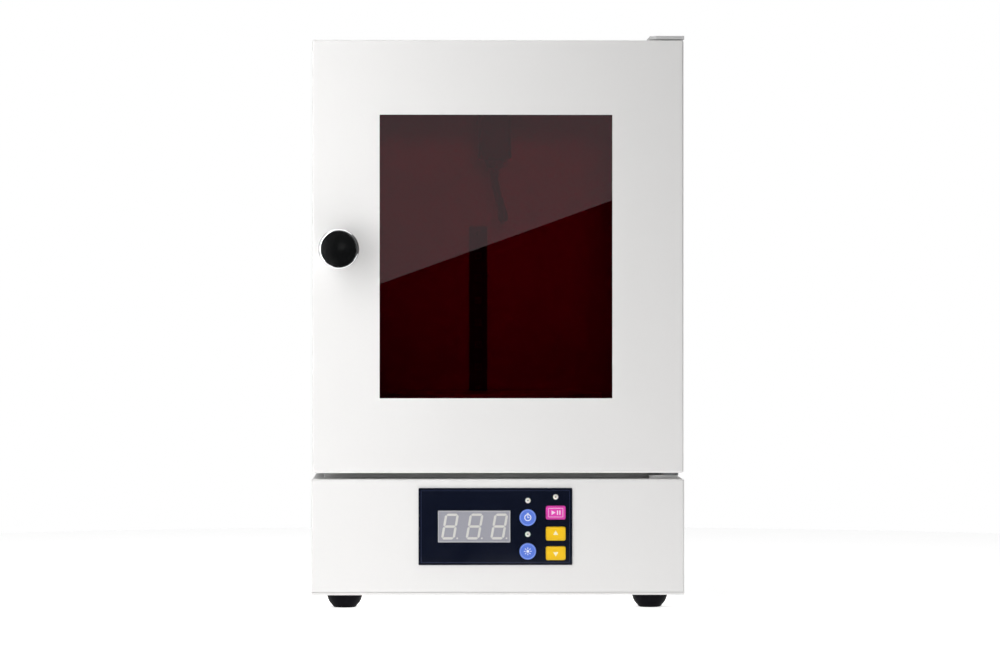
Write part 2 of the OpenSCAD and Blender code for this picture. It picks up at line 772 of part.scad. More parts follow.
module turntable_hub() color("#222326") difference() {
    union() {
        rod_z([0, mid_y, disc_low - hub_flange_t], hub_d, hub_flange_t);
        rod_z([0, mid_y, ch_low + neck_rise + hub_clear], spigot_d,
            disc_low - ch_low - neck_rise - hub_clear + hub_seat);
    }
    rod_z([0, mid_y, ch_low], shaft_d + 2 * run_fit, disc_low - shaft_short + 0.5 - ch_low);
}

module turntable_disc() color("white", 0.6) difference() {
    rod_z([0, mid_y, disc_low], table_d, table_t);
    rod_z([0, mid_y, disc_low - e], spigot_d + 2 * run_fit, table_t + 2 * e);
}

// Hanger under the chamber's ceiling

arm_set = 12;             // distance from the ceiling to the arm's upper end
arm_top = ch_high - arm_set;
hanger_r = 3;
cone_wall = 2;            // wall round the arm at the cone's lower end
cone_step = 4;            // how far the cone stands back from the housing's sides
arm_knee = ch_high - hanger_h - hanger_cone_h - arm_drop;

module hanger_housing() color("#202124") difference() {
    union() {
        translate([0, mid_y, ch_high - hanger_h]) linear_extrude(hanger_h)
            round_rect(hanger_w, hanger_w, hanger_r);
        translate([0, mid_y, ch_high - hanger_h - hanger_cone_h])
            cylinder(d1 = arm_d + 2 * cone_wall, d2 = hanger_w - 2 * cone_step, h = hanger_cone_h);
    }
    rod_z([0, mid_y, arm_knee], arm_d + 2 * run_fit, arm_top + 0.5 - arm_knee);
}

module hanging_arm() color("#303236") {
    slant = norm([arm_reach, arm_slant_drop]);
    rod_z([0, mid_y, arm_knee], arm_d, arm_top - arm_knee);
    translate([0, mid_y, arm_knee]) {
        sphere(d = arm_d + 0.6);
        rotate([0, 180 - atan2(arm_reach, arm_slant_drop), 0]) cylinder(d = arm_d, h = slant);
        translate([arm_reach, 0, -arm_slant_drop]) sphere(d = arm_tip_d);
    }
}

// Control panel

module on_panel(at, y) translate([panel_shift + at.x, y, panel_z + at.y]) children();

module round_hole(at, d, grow) on_panel(at, face_y - e)
    rod_y([0, 0, 0], d + 2 * grow, face_t + carrier_t + 2 * e);
module rect_hole(at, w, h, r, grow) on_panel(at, face_y - e)
    upright([0, 0, 0], face_t + carrier_t + 2 * e) round_rect(w + 2 * grow, h + 2 * grow, r + grow);

module panel_face() color("#14182a") difference() {
    union() {
        on_panel([0, 0], face_y) upright([0, 0, 0], face_t) round_rect(panel_w, panel_h, 0.6);
        on_panel([0, 0], front_y) upright([0, 0, 0], carrier_t) square([cut_w, cut_h], center = true);
        for (at = posts_at) on_panel(at, front_y) rod_y([0, 0, 0], post_d, board_y - front_y);
    }
    rect_hole(display_at, display_w, display_h, 0.4, 0);
    for (at = [timer_at, mode_at]) round_hole(at, round_key_d, slip);
    for (at = [run_at, up_at, down_at]) rect_hole(at, key_w, key_h, key_r, slip);
    for (at = lamps_at) round_hole(at, lamp_d, slip);
}

module display_housing() color("#aeb1b3") on_panel(display_at, display_y)
    upright([0, 0, 0], board_y - display_y) round_rect(display_w - 2 * slip, display_h - 2 * slip, 0.3);

// A stroke of a digit: a bar with pointed ends, leaned over by the slant
function lean(p) = [p.x + p.y * tan(digit_slant), p.y];
function bar_across(x, z, l, t) = [for (q = [[-l / 2, 0], [-l / 2 + t / 2, t / 2], [l / 2 - t / 2, t / 2],
    [l / 2, 0], [l / 2 - t / 2, -t / 2], [-l / 2 + t / 2, -t / 2]]) lean([x, z] + q)];
function bar_up(x, z, l, t) = [for (q = [[0, -l / 2], [t / 2, -l / 2 + t / 2], [t / 2, l / 2 - t / 2],
    [0, l / 2], [-t / 2, l / 2 - t / 2], [-t / 2, -l / 2 + t / 2]]) lean([x, z] + q)];

module digit_outline() {
    w = digit_w - stroke_w;
    h = (digit_h - stroke_w) / 2;
    ease = 0.5;           // gap where two strokes meet
    for (k = [-1, 0, 1]) polygon(bar_across(0, k * h, w - ease, stroke_w));
    for (x = [-1, 1], z = [-1, 1]) polygon(bar_up(x * w / 2, z * h / 2, h - ease, stroke_w));
    translate(lean([digit_w / 2 + point_d, -h])) circle(d = point_d);
}

module display_segments() color("#d4d6d8") for (k = [-1, 0, 1])
    on_panel(display_at + [k * digit_pitch + digit_shift, 0], display_y - segment_out)
        upright([0, 0, 0], segment_out) digit_outline();

module control_board() color("darkgreen") on_panel([0, 0], board_y)
    upright([0, 0, 0], board_t) square([cut_w - 2, cut_h - 1], center = true);

module indicator_lamps() color("#efeee6") for (at = lamps_at)
    on_panel(at, face_y - lamp_out) rod_y([0, 0, 0], lamp_d, board_y - face_y + lamp_out);

module tact_switches() color("#1c1d20") for (at = [timer_at, mode_at, run_at, up_at, down_at]) {
    on_panel(at, board_y - tact_t) upright([0, 0, 0], tact_t) round_rect(tact_w, tact_w, 0.5);
    on_panel(at, plunger_y) rod_y([0, 0, 0], plunger_d, board_y - tact_t - plunger_y + e);
}

module round_key(at, tint) color(tint) on_panel(at, 0) {
    rod_y([0, face_y - key_out, 0], round_key_d, key_back - face_y + key_out);
    rod_y([0, key_back - key_lip_t, 0], round_key_d + 2 * key_flange, key_lip_t);
}

module rect_key(at, tint) color(tint) on_panel(at, 0) {
    upright([0, face_y - key_out, 0], key_back - face_y + key_out) round_rect(key_w, key_h, key_r);
    upright([0, key_back - key_lip_t, 0], key_lip_t)
        round_rect(key_w + 2 * key_flange, key_h + 2 * key_flange, key_r);
}

module key_timer() round_key(timer_at, "#5f7fe0");

module key_mode() round_key(mode_at, "#5f7fe0");

module key_run() rect_key(run_at, "#e03cae");

module key_up() rect_key(up_at, "#fdc30a");

module key_down() rect_key(down_at, "#fdc30a");

// Power

supply_w = 92;
supply_d = 74;
supply_h = 30;
supply_edge = 20;         // distance from the base's side to the supply
supply_set = 30;          // distance from the middle to the supply's front
strip_w = 12;             // terminal strip on the supply's side
strip_h = 14;
strip_short = 10;
rib_w = 5;
rib_pitch = 13;
rib_deep = 1;

module power_supply() color("silver")
    translate([-half_w + supply_edge, mid_y - supply_set, z_base + bottom_t]) difference() {
    union() {
        cube([supply_w, supply_d, supply_h]);
        translate([supply_w, strip_short, 0]) cube([strip_w, supply_d - 2 * strip_short, strip_h]);
    }
    for (i = [0:5]) translate([strip_w + i * rib_pitch, strip_short, supply_h - rib_deep])
        cube([rib_w, supply_d - 2 * strip_short, rib_deep + e]);
}

module socket_outline(grow) {
    w = socket_w / 2 + grow;
    h = socket_h / 2 + grow;
    polygon([[-w, -h], [w, -h], [w, h - socket_cut], [w - socket_cut, h],
        [-w + socket_cut, h], [-w, h - socket_cut]]);
}

module power_inlet() color("#1b1c1e") difference() {
    union() {
        upright([inlet_x, back_y, inlet_z], socket_lip) round_rect(inlet_w, inlet_h, 3);
        upright([inlet_x, back_y - socket_deep - socket_back, inlet_z], socket_deep + socket_back)
            socket_outline(inlet_wall);
    }
    upright([inlet_x, back_y + socket_lip - socket_deep, inlet_z], socket_deep + e) socket_outline(0);
    at_inlet_screws() rod_y([0, back_y - e, 0], cover_screw_d + slip, socket_lip + 2 * e);
}

module inlet_pins() color("silver") for (at = pins_at) translate([inlet_x + at.x, back_y, inlet_z + at.y])
    block([-pin_w / 2, socket_lip - socket_deep, -pin_h / 2], [pin_w / 2, -pin_deep, pin_h / 2]);

module rocker_housing() color("#1b1c1e") difference() {
    union() {
        upright([switch_x, back_y, inlet_z], switch_lip)
            round_rect(rocker_w + 2 * switch_wall + 2 * slip + 2, rocker_slot_l + 2 * switch_wall + 2, 1.5);
        upright([switch_x, back_y - switch_deep, inlet_z], switch_deep)
            square([rocker_w + 2 * switch_wall + 2 * slip, rocker_slot_l + 2 * switch_wall], center = true);
    }
    block([switch_x - rocker_w / 2 - slip, back_y - switch_deep + 4, inlet_z - rocker_slot_l / 2],
        [switch_x + rocker_w / 2 + slip, back_y + switch_lip + e, inlet_z + rocker_slot_l / 2]);
    rod_x([switch_x - rocker_w / 2 - slip - 1.2, pivot_y, inlet_z], pivot_d + 2 * run_fit,
        rocker_w + 2 * slip + 2.4);
}

// At rest the switch is off: the lower half is flush and the upper half stands out
module rocker() color("#26272a") translate([switch_x, pivot_y, inlet_z]) rotate([-rocker_tilt, 0, 0]) {
    translate([-rocker_w / 2, 0, 0]) rotate([90, 0, 90]) linear_extrude(rocker_w)
        polygon([[-3, -4], [rocker_end - 2.5, -rocker_l / 2], [rocker_end, -rocker_l / 2],
            [rocker_mid, 0], [rocker_end, rocker_l / 2], [rocker_end - 2.5, rocker_l / 2], [-3, 4]]);
    rod_x([-rocker_w / 2 - slip - 1, 0, 0], pivot_d, rocker_w + 2 * slip + 2);
}

// Fan

module at_fan_corners() for (x = [-1, 1], z = [-1, 1])
    translate([x * fan_pitch / 2, 0, fan_z + z * fan_pitch / 2]) children();

module fan_frame() color("#1f2022") difference() {
    union() {
        difference() {
            upright([0, fan_y, fan_z], fan_t) round_rect(fan_w, fan_w, 4);
            rod_y([0, fan_y - e, fan_z], fan_bore_d, fan_t + 2 * e);
        }
        rod_y([0, fan_y, fan_z], fan_hub_d, strut_t + 0.5);
        for (a = [45:90:315]) translate([0, fan_y, fan_z]) rotate([0, a, 0])
            block([-strut_w / 2, 0, fan_hub_d / 2 - 1], [strut_w / 2, strut_t, fan_bore_d / 2 + 1]);
    }
    rod_y([0, fan_y - e, fan_z], fan_shaft_d + 2 * run_fit, 3);
    at_fan_corners() rod_y([0, fan_y - e, 0], fan_screw_d + 0.3, fan_t + 2 * e);
}

module fan_rotor() color("#26272a") {
    rod_y([0, fan_y + 0.4, fan_z], fan_shaft_d, 4);
    rod_y([0, fan_y + fan_nose, fan_z], fan_hub_d, rotor_h);
    intersection() {
        rod_y([0, fan_y + fan_nose, fan_z], fan_bore_d - 2 * blade_tip, rotor_h);
        for (k = [0:fan_blades - 1]) translate([0, fan_y + fan_nose + rotor_h / 2, fan_z])
            rotate([0, k * 360 / fan_blades, 0]) rotate([0, 0, 42])
                block([-9, -0.6, fan_hub_d / 2 - 2], [9, 0.6, fan_bore_d / 2]);
    }
}

module guard_ring(d) translate([0, guard_y + 0.6 * guard_wire, fan_z]) rotate([-90, 0, 0])
    rotate_extrude() translate([d / 2, 0]) circle(d = guard_wire);

module fan_guard() color("silver") {
    for (d = [guard_pitch:guard_pitch:fan_bore_d]) guard_ring(d);
    for (a = [45:90:315]) translate([0, guard_y, fan_z]) rotate([0, a, 0])
        rod_z([0, 0, guard_core], guard_wire, fan_pitch / sqrt(2) - fan_screw_d + 2 - guard_core);
    at_fan_corners() difference() {
        rod_y([0, back_y, 0], fan_screw_d + 4.4, guard_wire);
        rod_y([0, back_y - e, 0], fan_screw_d + 0.3, guard_wire + 2 * e);
    }
}

module fan_screws() color("silver") at_fan_corners() {
    rod_y([0, back_y + guard_wire, 0], fan_head_d, fan_head_h);
    rod_y([0, fan_y + 1, 0], fan_screw_d, back_y + guard_wire - fan_y - 1 + e);
}

// Door

module door_outer() color("white") difference() {
    block([-door_half, front_y, z_cab], [door_half, door_y, z_door]);
    block([-door_half + sheet_t, front_y + sheet_t, z_cab + sheet_t],
        [door_half - sheet_t, door_y + e, z_door - sheet_t]);
    window_block(0, front_y - e, front_y + 2 * sheet_t);
    rod_y([knob_x, front_y - e, knob_z], knob_screw_d + slip, sheet_t + 2 * e);
    for (z = [z_cab - e, z_door - sheet_t - e])
        rod_z([hinge_x, hinge_y, z], bush_d + 2 * run_fit, sheet_t + 2 * e);
}

module door_inner() color("gainsboro") difference() {
    nest = sheet_t + nest_gap;
    block([-door_half + nest, door_y - inner_rim, z_cab + nest], [door_half - nest, door_y, z_door - nest]);
    block([-door_half + nest + inner_t, door_y - inner_rim - e, z_cab + nest + inner_t],
        [door_half - nest - inner_t, door_y - inner_t, z_door - nest - inner_t]);
    window_block(sleeve_grow + retainer_t + nest_gap, door_y - 2 * inner_t, door_y + e);
}

module window_pane() color("#5a1016", 0.85) window_block(pane_lap, pane_y, flange_y);

nut_place = pane_lap + (retainer_flange - pane_lap) / 2;
nut_d = 6.2;
nut_h = 2.4;
stud_past = 1.6;          // how far a stud reaches past its nut
nut_edge = 6;             // distance from the window's corners to the outer nuts

module at_nuts() translate([win_shift, 0, z_door_mid]) for (x = [-1, 1], z = [-1, 0, 1])
    translate([x * (win_w / 2 + nut_place), 0, z * (win_h / 2 - nut_edge)]) children();

module pane_retainer() color("gainsboro") difference() {
    union() {
        difference() {
            window_block(retainer_flange, flange_y, flange_y + retainer_t);
            window_block(sleeve_grow, flange_y - e, flange_y + retainer_t + e);
        }
        difference() {
            window_block(sleeve_grow + retainer_t, flange_y, door_y);
            window_block(sleeve_grow, flange_y - e, door_y + e);
        }
    }
    at_nuts() rod_y([0, flange_y - e, 0], cover_screw_d + slip, retainer_t + 2 * e);
}

// Studs on the back of the door's face, each with its nut
module retainer_nuts() color("silver") at_nuts() {
    rod_y([0, pane_y, 0], cover_screw_d, pane_t + retainer_t + nut_h + stud_past);
    translate([0, flange_y + retainer_t, 0]) rotate([-90, 0, 0]) cylinder(d = nut_d, h = nut_h, $fn = 6);
}

// Notched where the catch reaches into it
module door_gasket() color("#e9e9e6") difference() {
    block([-ch_half - gasket_land - gasket_w, door_y, ch_low - gasket_land - gasket_w],
        [ch_half + gasket_land + gasket_w, cab_y - soft_gap, ch_high + gasket_land + gasket_w]);
    block([-ch_half - gasket_land, door_y - e, ch_low - gasket_land],
        [ch_half + gasket_land, cab_y, ch_high + gasket_land]);
    block([-half_w, door_y - e, knob_z - catch_h / 2 - slip],
        [catch_x + catch_w / 2 + slip, cab_y, knob_z + catch_h / 2 + slip]);
}

module knob_body() color("silver") translate([knob_x, front_y, knob_z]) rotate([90, 0, 0]) difference() {
    rotate_extrude() polygon([[0, 0], [knob_waist_d / 2 + knob_foot, 0],
        [knob_waist_d / 2 + knob_foot, knob_foot_h], [knob_waist_d / 2, 2 * knob_foot_h],
        [knob_waist_d / 2, knob_out - knob_head - 3 * knob_ease],
        [knob_d / 2 - knob_ease, knob_out - knob_head],
        [knob_d / 2, knob_out - knob_head + knob_ease], [knob_d / 2, knob_out - cap_dome - 0.6 * knob_ease],
        [knob_d / 2 - 0.6 * knob_ease, knob_out - cap_dome], [0, knob_out - cap_dome]]);
    translate([0, 0, knob_out - cap_seat - cap_dome])
        cylinder(d = knob_face_d + 2 * run_fit, h = 2 * cap_seat);
    translate([0, 0, -e]) cylinder(d = knob_screw_d + 2 * run_fit, h = knob_screw_reach + 0.5 + e);
}

module knob_cap() color("#111213") translate([knob_x, front_y, knob_z]) rotate([90, 0, 0]) intersection() {
    translate([0, 0, knob_out - cap_seat - cap_dome]) cylinder(d = knob_face_d, h = cap_seat + cap_dome);
    dome_r = (pow(knob_face_d / 2, 2) + pow(cap_dome, 2)) / (2 * cap_dome);
    translate([0, 0, knob_out - dome_r]) sphere(r = dome_r, $fn = 128);
}

module knob_screw() color("silver") {
    rod_y([knob_x, front_y - knob_screw_reach, knob_z], knob_screw_d, knob_screw_reach + sheet_t + e);
    rod_y([knob_x, front_y + sheet_t, knob_z], knob_nut_d, knob_nut_h);
}

base_shell();
base_bottom();
base_back();
rubber_feet();
foot_screws();
neck_plate();
cabinet_shell();
cabinet_floor();
cabinet_front();
cabinet_back();
cover_screws();
liner_left();
liner_right();
liner_back();
liner_ceiling();
liner_floor();
led_bars();
led_chips();
hinge_bracket_top();
hinge_bracket_bottom();
hinge_pins();
flat_screws();
magnet_catch();
gearmotor();
hanger_housing();
panel_face();
display_housing();
display_segments();
control_board();
indicator_lamps();
tact_switches();
power_supply();
power_inlet();
inlet_pins();
rocker_housing();
fan_frame();
fan_guard();
fan_screws();
hanging_arm();
key_timer();
key_mode();
key_run();
key_up();
key_down();
rocker();
fan_rotor();
turntable_disc();
turntable_hub();
drive_shaft();
door_outer();
door_inner();
window_pane();
pane_retainer();
retainer_nuts();
door_gasket();
knob_body();
knob_cap();
knob_screw();
strike_plate();
hinge_bushes();
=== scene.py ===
"""Light curing cabinet, dressed for the camera.

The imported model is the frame. Each sub-assembly below is a class that holds its sizes in
millimetres, models its pieces round the frame's nodes and gives them their finishes.
"""

import logging
import math
from collections import defaultdict
from contextlib import contextmanager
from dataclasses import dataclass
from enum import Enum
from typing import Callable, Iterable, Iterator, Sequence

import bmesh
import bpy
from mathutils import Matrix, Vector


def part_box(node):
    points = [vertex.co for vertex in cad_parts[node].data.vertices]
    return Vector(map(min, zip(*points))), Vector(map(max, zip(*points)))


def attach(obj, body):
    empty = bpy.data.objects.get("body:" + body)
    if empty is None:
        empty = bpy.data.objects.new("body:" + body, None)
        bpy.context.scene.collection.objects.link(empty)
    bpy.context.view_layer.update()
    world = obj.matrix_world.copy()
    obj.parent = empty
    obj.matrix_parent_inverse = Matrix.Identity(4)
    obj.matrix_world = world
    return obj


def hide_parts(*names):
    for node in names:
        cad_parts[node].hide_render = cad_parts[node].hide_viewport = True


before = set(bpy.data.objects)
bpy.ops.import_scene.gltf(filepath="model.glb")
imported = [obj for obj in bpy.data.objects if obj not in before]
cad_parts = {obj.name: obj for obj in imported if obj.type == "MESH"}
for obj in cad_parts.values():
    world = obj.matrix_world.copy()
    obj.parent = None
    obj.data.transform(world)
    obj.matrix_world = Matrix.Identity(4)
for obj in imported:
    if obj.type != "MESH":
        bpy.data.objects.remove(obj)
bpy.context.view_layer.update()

MM = 0.001  # metres in a millimetre
LOG = logging.getLogger("curing_cabinet")

OUT = Vector((0, -1, 0))  # towards who stands in front
BACK = Vector((0, 1, 0))
UP = Vector((0, 0, 1))
SQUARE = 0.9  # least part of a normal along an axis that makes a face square to it
SHARP = 50.0  # least angle of an edge that is rounded on a piece with curved sides, in degrees
OVER = 1.0  # how far a cutter stands out of what it goes through
FAN_BORE = 57.0  # across the fan's opening, in its frame and in the rear cover

Piece = bpy.types.Object
Material = bpy.types.Material
Tree = bpy.types.NodeTree
Node = bpy.types.Node
Socket = bpy.types.NodeSocket
Point = Sequence[float]
Pair = tuple[float, float]
Outline = list[Pair]


# Places, in millimetres


@dataclass(frozen=True)
class Box:
    """The space between two opposite corners, in millimetres."""

    low: Vector
    high: Vector

    @property
    def mid(self) -> Vector:
        """The box's middle."""
        return (self.low + self.high) / 2

    @property
    def size(self) -> Vector:
        """The box's lengths along X, Y and Z."""
        return self.high - self.low

    def grown(self, x: float = 0.0, y: float = 0.0, z: float = 0.0) -> "Box":
        """The box moved out on both sides along each axis, or in where a number is negative."""
        step = Vector((x, y, z))
        return Box(self.low - step, self.high + step)

    def between(self, **limits: float) -> "Box":
        """The same box with some limits set.

        Args:
            limits: x0, x1, y0, y1, z0 or z1, each the new limit on that side.

        Returns:
            The new box.
        """
        low, high = self.low.copy(), self.high.copy()
        for key, value in limits.items():
            (low if key[1] == "0" else high)["xyz".index(key[0])] = value
        return Box(low, high)

    def frames(self, point: Vector) -> bool:
        """True if a point lies inside the box, seen along Y."""
        return all(self.low[k] < point[k] < self.high[k] for k in (0, 2))


def node_box(node: str) -> Box:
    """The box of a CAD node at rest."""
    low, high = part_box(node)
    return Box(Vector(low) / MM, Vector(high) / MM)


def solids(node: str) -> list[Box]:
    """Boxes of the separate solids that share a CAD node.

    Args:
        node: the node's name.

    Returns:
        One box for each solid, sorted by X, then Y, then Z.
    """
    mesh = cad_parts[node].data
    keys = [tuple(round(c, 6) for c in v.co) for v in mesh.vertices]
    leader = {key: key for key in keys}

    def root(key: tuple) -> tuple:
        """The point that stands for the solid that key is on."""
        while leader[key] != key:
            leader[key] = leader[leader[key]]
            key = leader[key]
        return key

    for face in mesh.polygons:
        first = root(keys[face.vertices[0]])
        for index in face.vertices[1:]:
            leader[root(keys[index])] = first
    groups = defaultdict(list)
    for key in leader:
        groups[root(key)].append(Vector(key) / MM)
    boxes = []
    for points in groups.values():
        low = Vector(min(p[i] for p in points) for i in range(3))
        high = Vector(max(p[i] for p in points) for i in range(3))
        boxes.append(Box(low, high))
    return sorted(boxes, key=lambda box: [round(c, 3) for c in box.mid])


# Modelling tools


def deselect() -> None:
    """Deselects every object."""
    bpy.ops.object.select_all(action="DESELECT")


def take_all() -> None:
    """Selects the whole mesh in edit mode."""
    bpy.ops.mesh.select_all(action="SELECT")


def pick(*pieces: Piece) -> None:
    """Selects these pieces alone and makes the first one active."""
    deselect()
    for piece in pieces:
        piece.select_set(True)
    bpy.context.view_layer.objects.active = pieces[0]


def named(name: str) -> Piece:
    """Names the piece that an operator has just added and puts its place into its mesh."""
    piece = bpy.context.object
    piece.name = piece.data.name = name
    bpy.ops.object.transform_apply(location=True, rotation=True, scale=True)
    return piece


def block(name: str, box: Box) -> Piece:
    """A cube primitive that fills a box."""
    deselect()
    bpy.ops.mesh.primitive_cube_add(size=1, location=box.mid * MM, scale=box.size * MM)
    return named(name)


def drum(name: str, start: Point, way: Point, length: float, radius: float, sides: int = 48) -> Piece:
    """A cylinder primitive.

    Args:
        name: the piece's name.
        start: middle of its first end.
        way: direction from the first end to the second.
        length: its length.
        radius: its radius.
        sides: facets round it.

    Returns:
        The piece.
    """
    way = Vector(way).normalized()
    deselect()
    bpy.ops.mesh.primitive_cone_add(
        vertices=sides,
        radius1=radius * MM,
        radius2=radius * MM,
        depth=length * MM,
        location=(Vector(start) + way * length / 2) * MM,
        rotation=way.to_track_quat("Z", "Y").to_euler(),
    )
    return named(name)


def bore(box: Box, place: Point, axis: int, radius: float, sides: int = 48) -> Piece:
    """A round cutter right through a box.

    Args:
        box: the space that it goes through.
        place: a point on its axis.
        axis: 0, 1 or 2 for X, Y or Z.
        radius: its radius.
        sides: facets round it.

    Returns:
        The cutter.
    """
    start, way = Vector(place), Vector((0, 0, 0))
    start[axis], way[axis] = box.low[axis] - OVER, 1.0
    return drum("bore", start, way, box.size[axis] + 2 * OVER, radius, sides)


@contextmanager
def editing(piece: Piece, kind: str = "FACE") -> Iterator[Callable[[Callable], None]]:
    """Edit mode on one piece, with nothing selected.

    Args:
        piece: the piece to shape.
        kind: FACE, EDGE or VERT.

    Yields:
        A function that selects the elements that pass a test. The test gets a face's middle and
        normal, an edge's two ends, or a point, all in millimetres.
    """
    pick(piece)
    bpy.ops.object.mode_set(mode="EDIT")
    bpy.ops.mesh.select_mode(type=kind)
    bpy.ops.mesh.select_all(action="DESELECT")

    def choose(test: Callable) -> None:
        """Selects what passes the test, and nothing else."""
        bpy.ops.mesh.select_all(action="DESELECT")
        shape = bmesh.from_edit_mesh(piece.data)
        if kind == "FACE":
            for face in shape.faces:
                face.select_set(bool(test(face.calc_center_median() / MM, face.normal)))
        elif kind == "EDGE":
            for edge in shape.edges:
                edge.select_set(bool(test(*(v.co / MM for v in edge.verts))))
        else:
            for vert in shape.verts:
                vert.select_set(bool(test(vert.co / MM)))
        shape.select_flush_mode()
        bmesh.update_edit_mesh(piece.data)

    yield choose
    bpy.ops.object.mode_set(mode="OBJECT")


def near(a: float, b: float, by: float = 0.01) -> bool:
    """True if two lengths are the same, within a hundredth of a millimetre or by."""
    return abs(a - b) < by


def inset(width: float, step: float = 0.0) -> None:
    """Insets the selected faces, and moves them along their normals by step."""
    bpy.ops.mesh.inset(thickness=width * MM, depth=step * MM, use_even_offset=True)


def extrude(step: Point) -> None:
    """Extrudes what is selected by a step."""
    bpy.ops.mesh.extrude_region_move(TRANSFORM_OT_translate={"value": Vector(step) * MM})


def bevel(width: float, segments: int = 1) -> None:
    """Bevels the selected edges."""
    bpy.ops.mesh.bevel(offset=width * MM, segments=segments, affect="EDGES")


def slice_at(place: float, axis: int) -> None:
    """Cuts the whole mesh in edit mode with a plane square to an axis."""
    point, normal = [0.0] * 3, [0.0] * 3
    point[axis], normal[axis] = place * MM, 1.0
    take_all()
    bpy.ops.mesh.bisect(plane_co=point, plane_no=normal)


def framed(piece: Piece, width: float) -> Piece:
    """Opens a slab into a frame of a width, seen along Y."""
    with editing(piece) as choose:
        choose(lambda middle, normal: abs(normal.y) > SQUARE)
        inset(width)
        bpy.ops.mesh.bridge_edge_loops()
    return piece


def modify(piece: Piece, kind: str, **settings) -> Piece:
    """Adds a modifier to a piece and applies it.

    Args:
        piece: the piece.
        kind: the modifier's type.
        settings: the modifier's own settings.

    Returns:
        The piece.
    """
    pick(piece)
    modifier = piece.modifiers.new(kind.lower(), kind)
    for key, value in settings.items():
        setattr(modifier, key, value)
    bpy.ops.object.modifier_apply(modifier=modifier.name)
    return piece


def soften(piece: Piece, width: float, segments: int = 2, angle: float = 35.0) -> Piece:
    """Rounds every edge sharper than an angle.

    Args:
        piece: the piece.
        width: how far the rounding reaches from the edge.
        segments: steps across the rounding.
        angle: least angle of an edge that is rounded, in degrees.

    Returns:
        The piece.
    """
    return modify(
        piece,
        "BEVEL",
        width=width * MM,
        segments=segments,
        limit_method="ANGLE",
        angle_limit=math.radians(angle),
        miter_outer="MITER_ARC",
    )


def joined(name: str, pieces: Sequence[Piece]) -> Piece:
    """Joins pieces into the first one."""
    pick(*pieces)
    if len(pieces) > 1:
        bpy.ops.object.join()
    pieces[0].name = pieces[0].data.name = name
    return pieces[0]


def cut(piece: Piece, cutters: Sequence[Piece]) -> Piece:
    """Takes cutters that don't touch each other out of a piece, and deletes them."""
    cutter = joined("cutter", cutters)
    modify(piece, "BOOLEAN", object=cutter, operation="DIFFERENCE", solver="EXACT")
    bpy.data.objects.remove(cutter)
    return piece


def turned(name: str, outline: Sequence[Point], foot: Point, axis: Point, steps: int = 64) -> Piece:
    """A turned piece, spun from an outline.

    Args:
        name: the piece's name.
        outline: radius and height of each corner, in order. It closes on itself or on the axis.
        foot: the point on the axis at height 0.
        axis: direction of the axis.
        steps: facets round it.

    Returns:
        The piece.
    """
    axis = Vector(axis).normalized()
    out = axis.orthogonal().normalized()
    foot = Vector(foot)
    points = [foot + out * radius + axis * height for radius, height in outline]
    deselect()
    bpy.ops.mesh.primitive_plane_add(size=MM, location=points[0] * MM)
    piece = named(name)
    with editing(piece, "VERT"):
        shape = bmesh.from_edit_mesh(piece.data)
        shape.verts.ensure_lookup_table()
        bmesh.ops.delete(shape, geom=shape.verts[1:], context="VERTS")
        shape.verts.ensure_lookup_table()
        shape.verts[0].co = points[0] * MM
        shape.verts[0].select_set(True)
        bmesh.update_edit_mesh(piece.data)
        for last, this in zip(points, points[1:]):
            extrude(this - last)
        take_all()
        bpy.ops.mesh.spin(steps=steps, angle=math.tau, center=foot * MM, axis=axis)
        take_all()
        bpy.ops.mesh.remove_doubles(threshold=0.002 * MM)
        bpy.ops.mesh.normals_make_consistent(inside=False)
    return piece


def arc(middle: Point, radius: float, start: float, end: float, steps: int) -> Outline:
    """Points along an arc of an outline.

    Args:
        middle: the arc's middle, as radius and height.
        radius: the arc's radius.
        start: angle of its first point, in degrees.
        end: angle of its last point, in degrees.
        steps: stretches along it.

    Returns:
        The points.
    """
    angles = [math.radians(start + (end - start) * k / steps) for k in range(steps + 1)]
    return [(middle[0] + radius * math.cos(a), middle[1] + radius * math.sin(a)) for a in angles]


def rounded_slab(name: str, box: Box, radius: float, axis: int = 1) -> Piece:
    """A block whose four edges along one axis are rounded.

    Args:
        name: the piece's name.
        box: the space it fills.
        radius: radius of the four edges.
        axis: 0, 1 or 2 for X, Y or Z.

    Returns:
        The piece.
    """
    piece = block(name, box)
    with editing(piece, "EDGE") as choose:
        choose(lambda a, b: near(abs((a - b)[axis]), box.size[axis]))
        bevel(radius, 5)
    return piece


def copied(piece: Piece, name: str, step: Point = (0, 0, 0), turn: Matrix | None = None) -> Piece:
    """A copy of a piece with its own mesh.

    Args:
        piece: the piece to copy.
        name: the copy's name.
        step: how far the copy lies from the piece.
        turn: a matrix in metres that the copy's mesh goes through first.

    Returns:
        The copy.
    """
    copy = piece.copy()
    copy.data = piece.data.copy()
    copy.name = copy.data.name = name
    bpy.context.scene.collection.objects.link(copy)
    if turn is not None:
        copy.data.transform(turn)
    copy.data.transform(Matrix.Translation(Vector(step) * MM))
    return copy


def pattern(piece: Piece, name: str, steps: Iterable[Point]) -> Piece:
    """Copies a piece to several places, joins the copies and deletes the model."""
    copies = [copied(piece, f"{name}_{k}", step) for k, step in enumerate(steps)]
    bpy.data.objects.remove(piece)
    return joined(name, copies)


def swung(piece: Piece, centre: Vector, turn: float, axis: str) -> Piece:
    """Turns a piece's mesh about a line through a point.

    Args:
        piece: the piece.
        centre: the point.
        turn: how far, in degrees.
        axis: X, Y or Z, which the line follows.

    Returns:
        The piece.
    """
    spin = Matrix.Rotation(math.radians(turn), 4, axis)
    piece.data.transform(Matrix.Translation(centre * MM) @ spin @ Matrix.Translation(-centre * MM))
    return piece


# Finishes


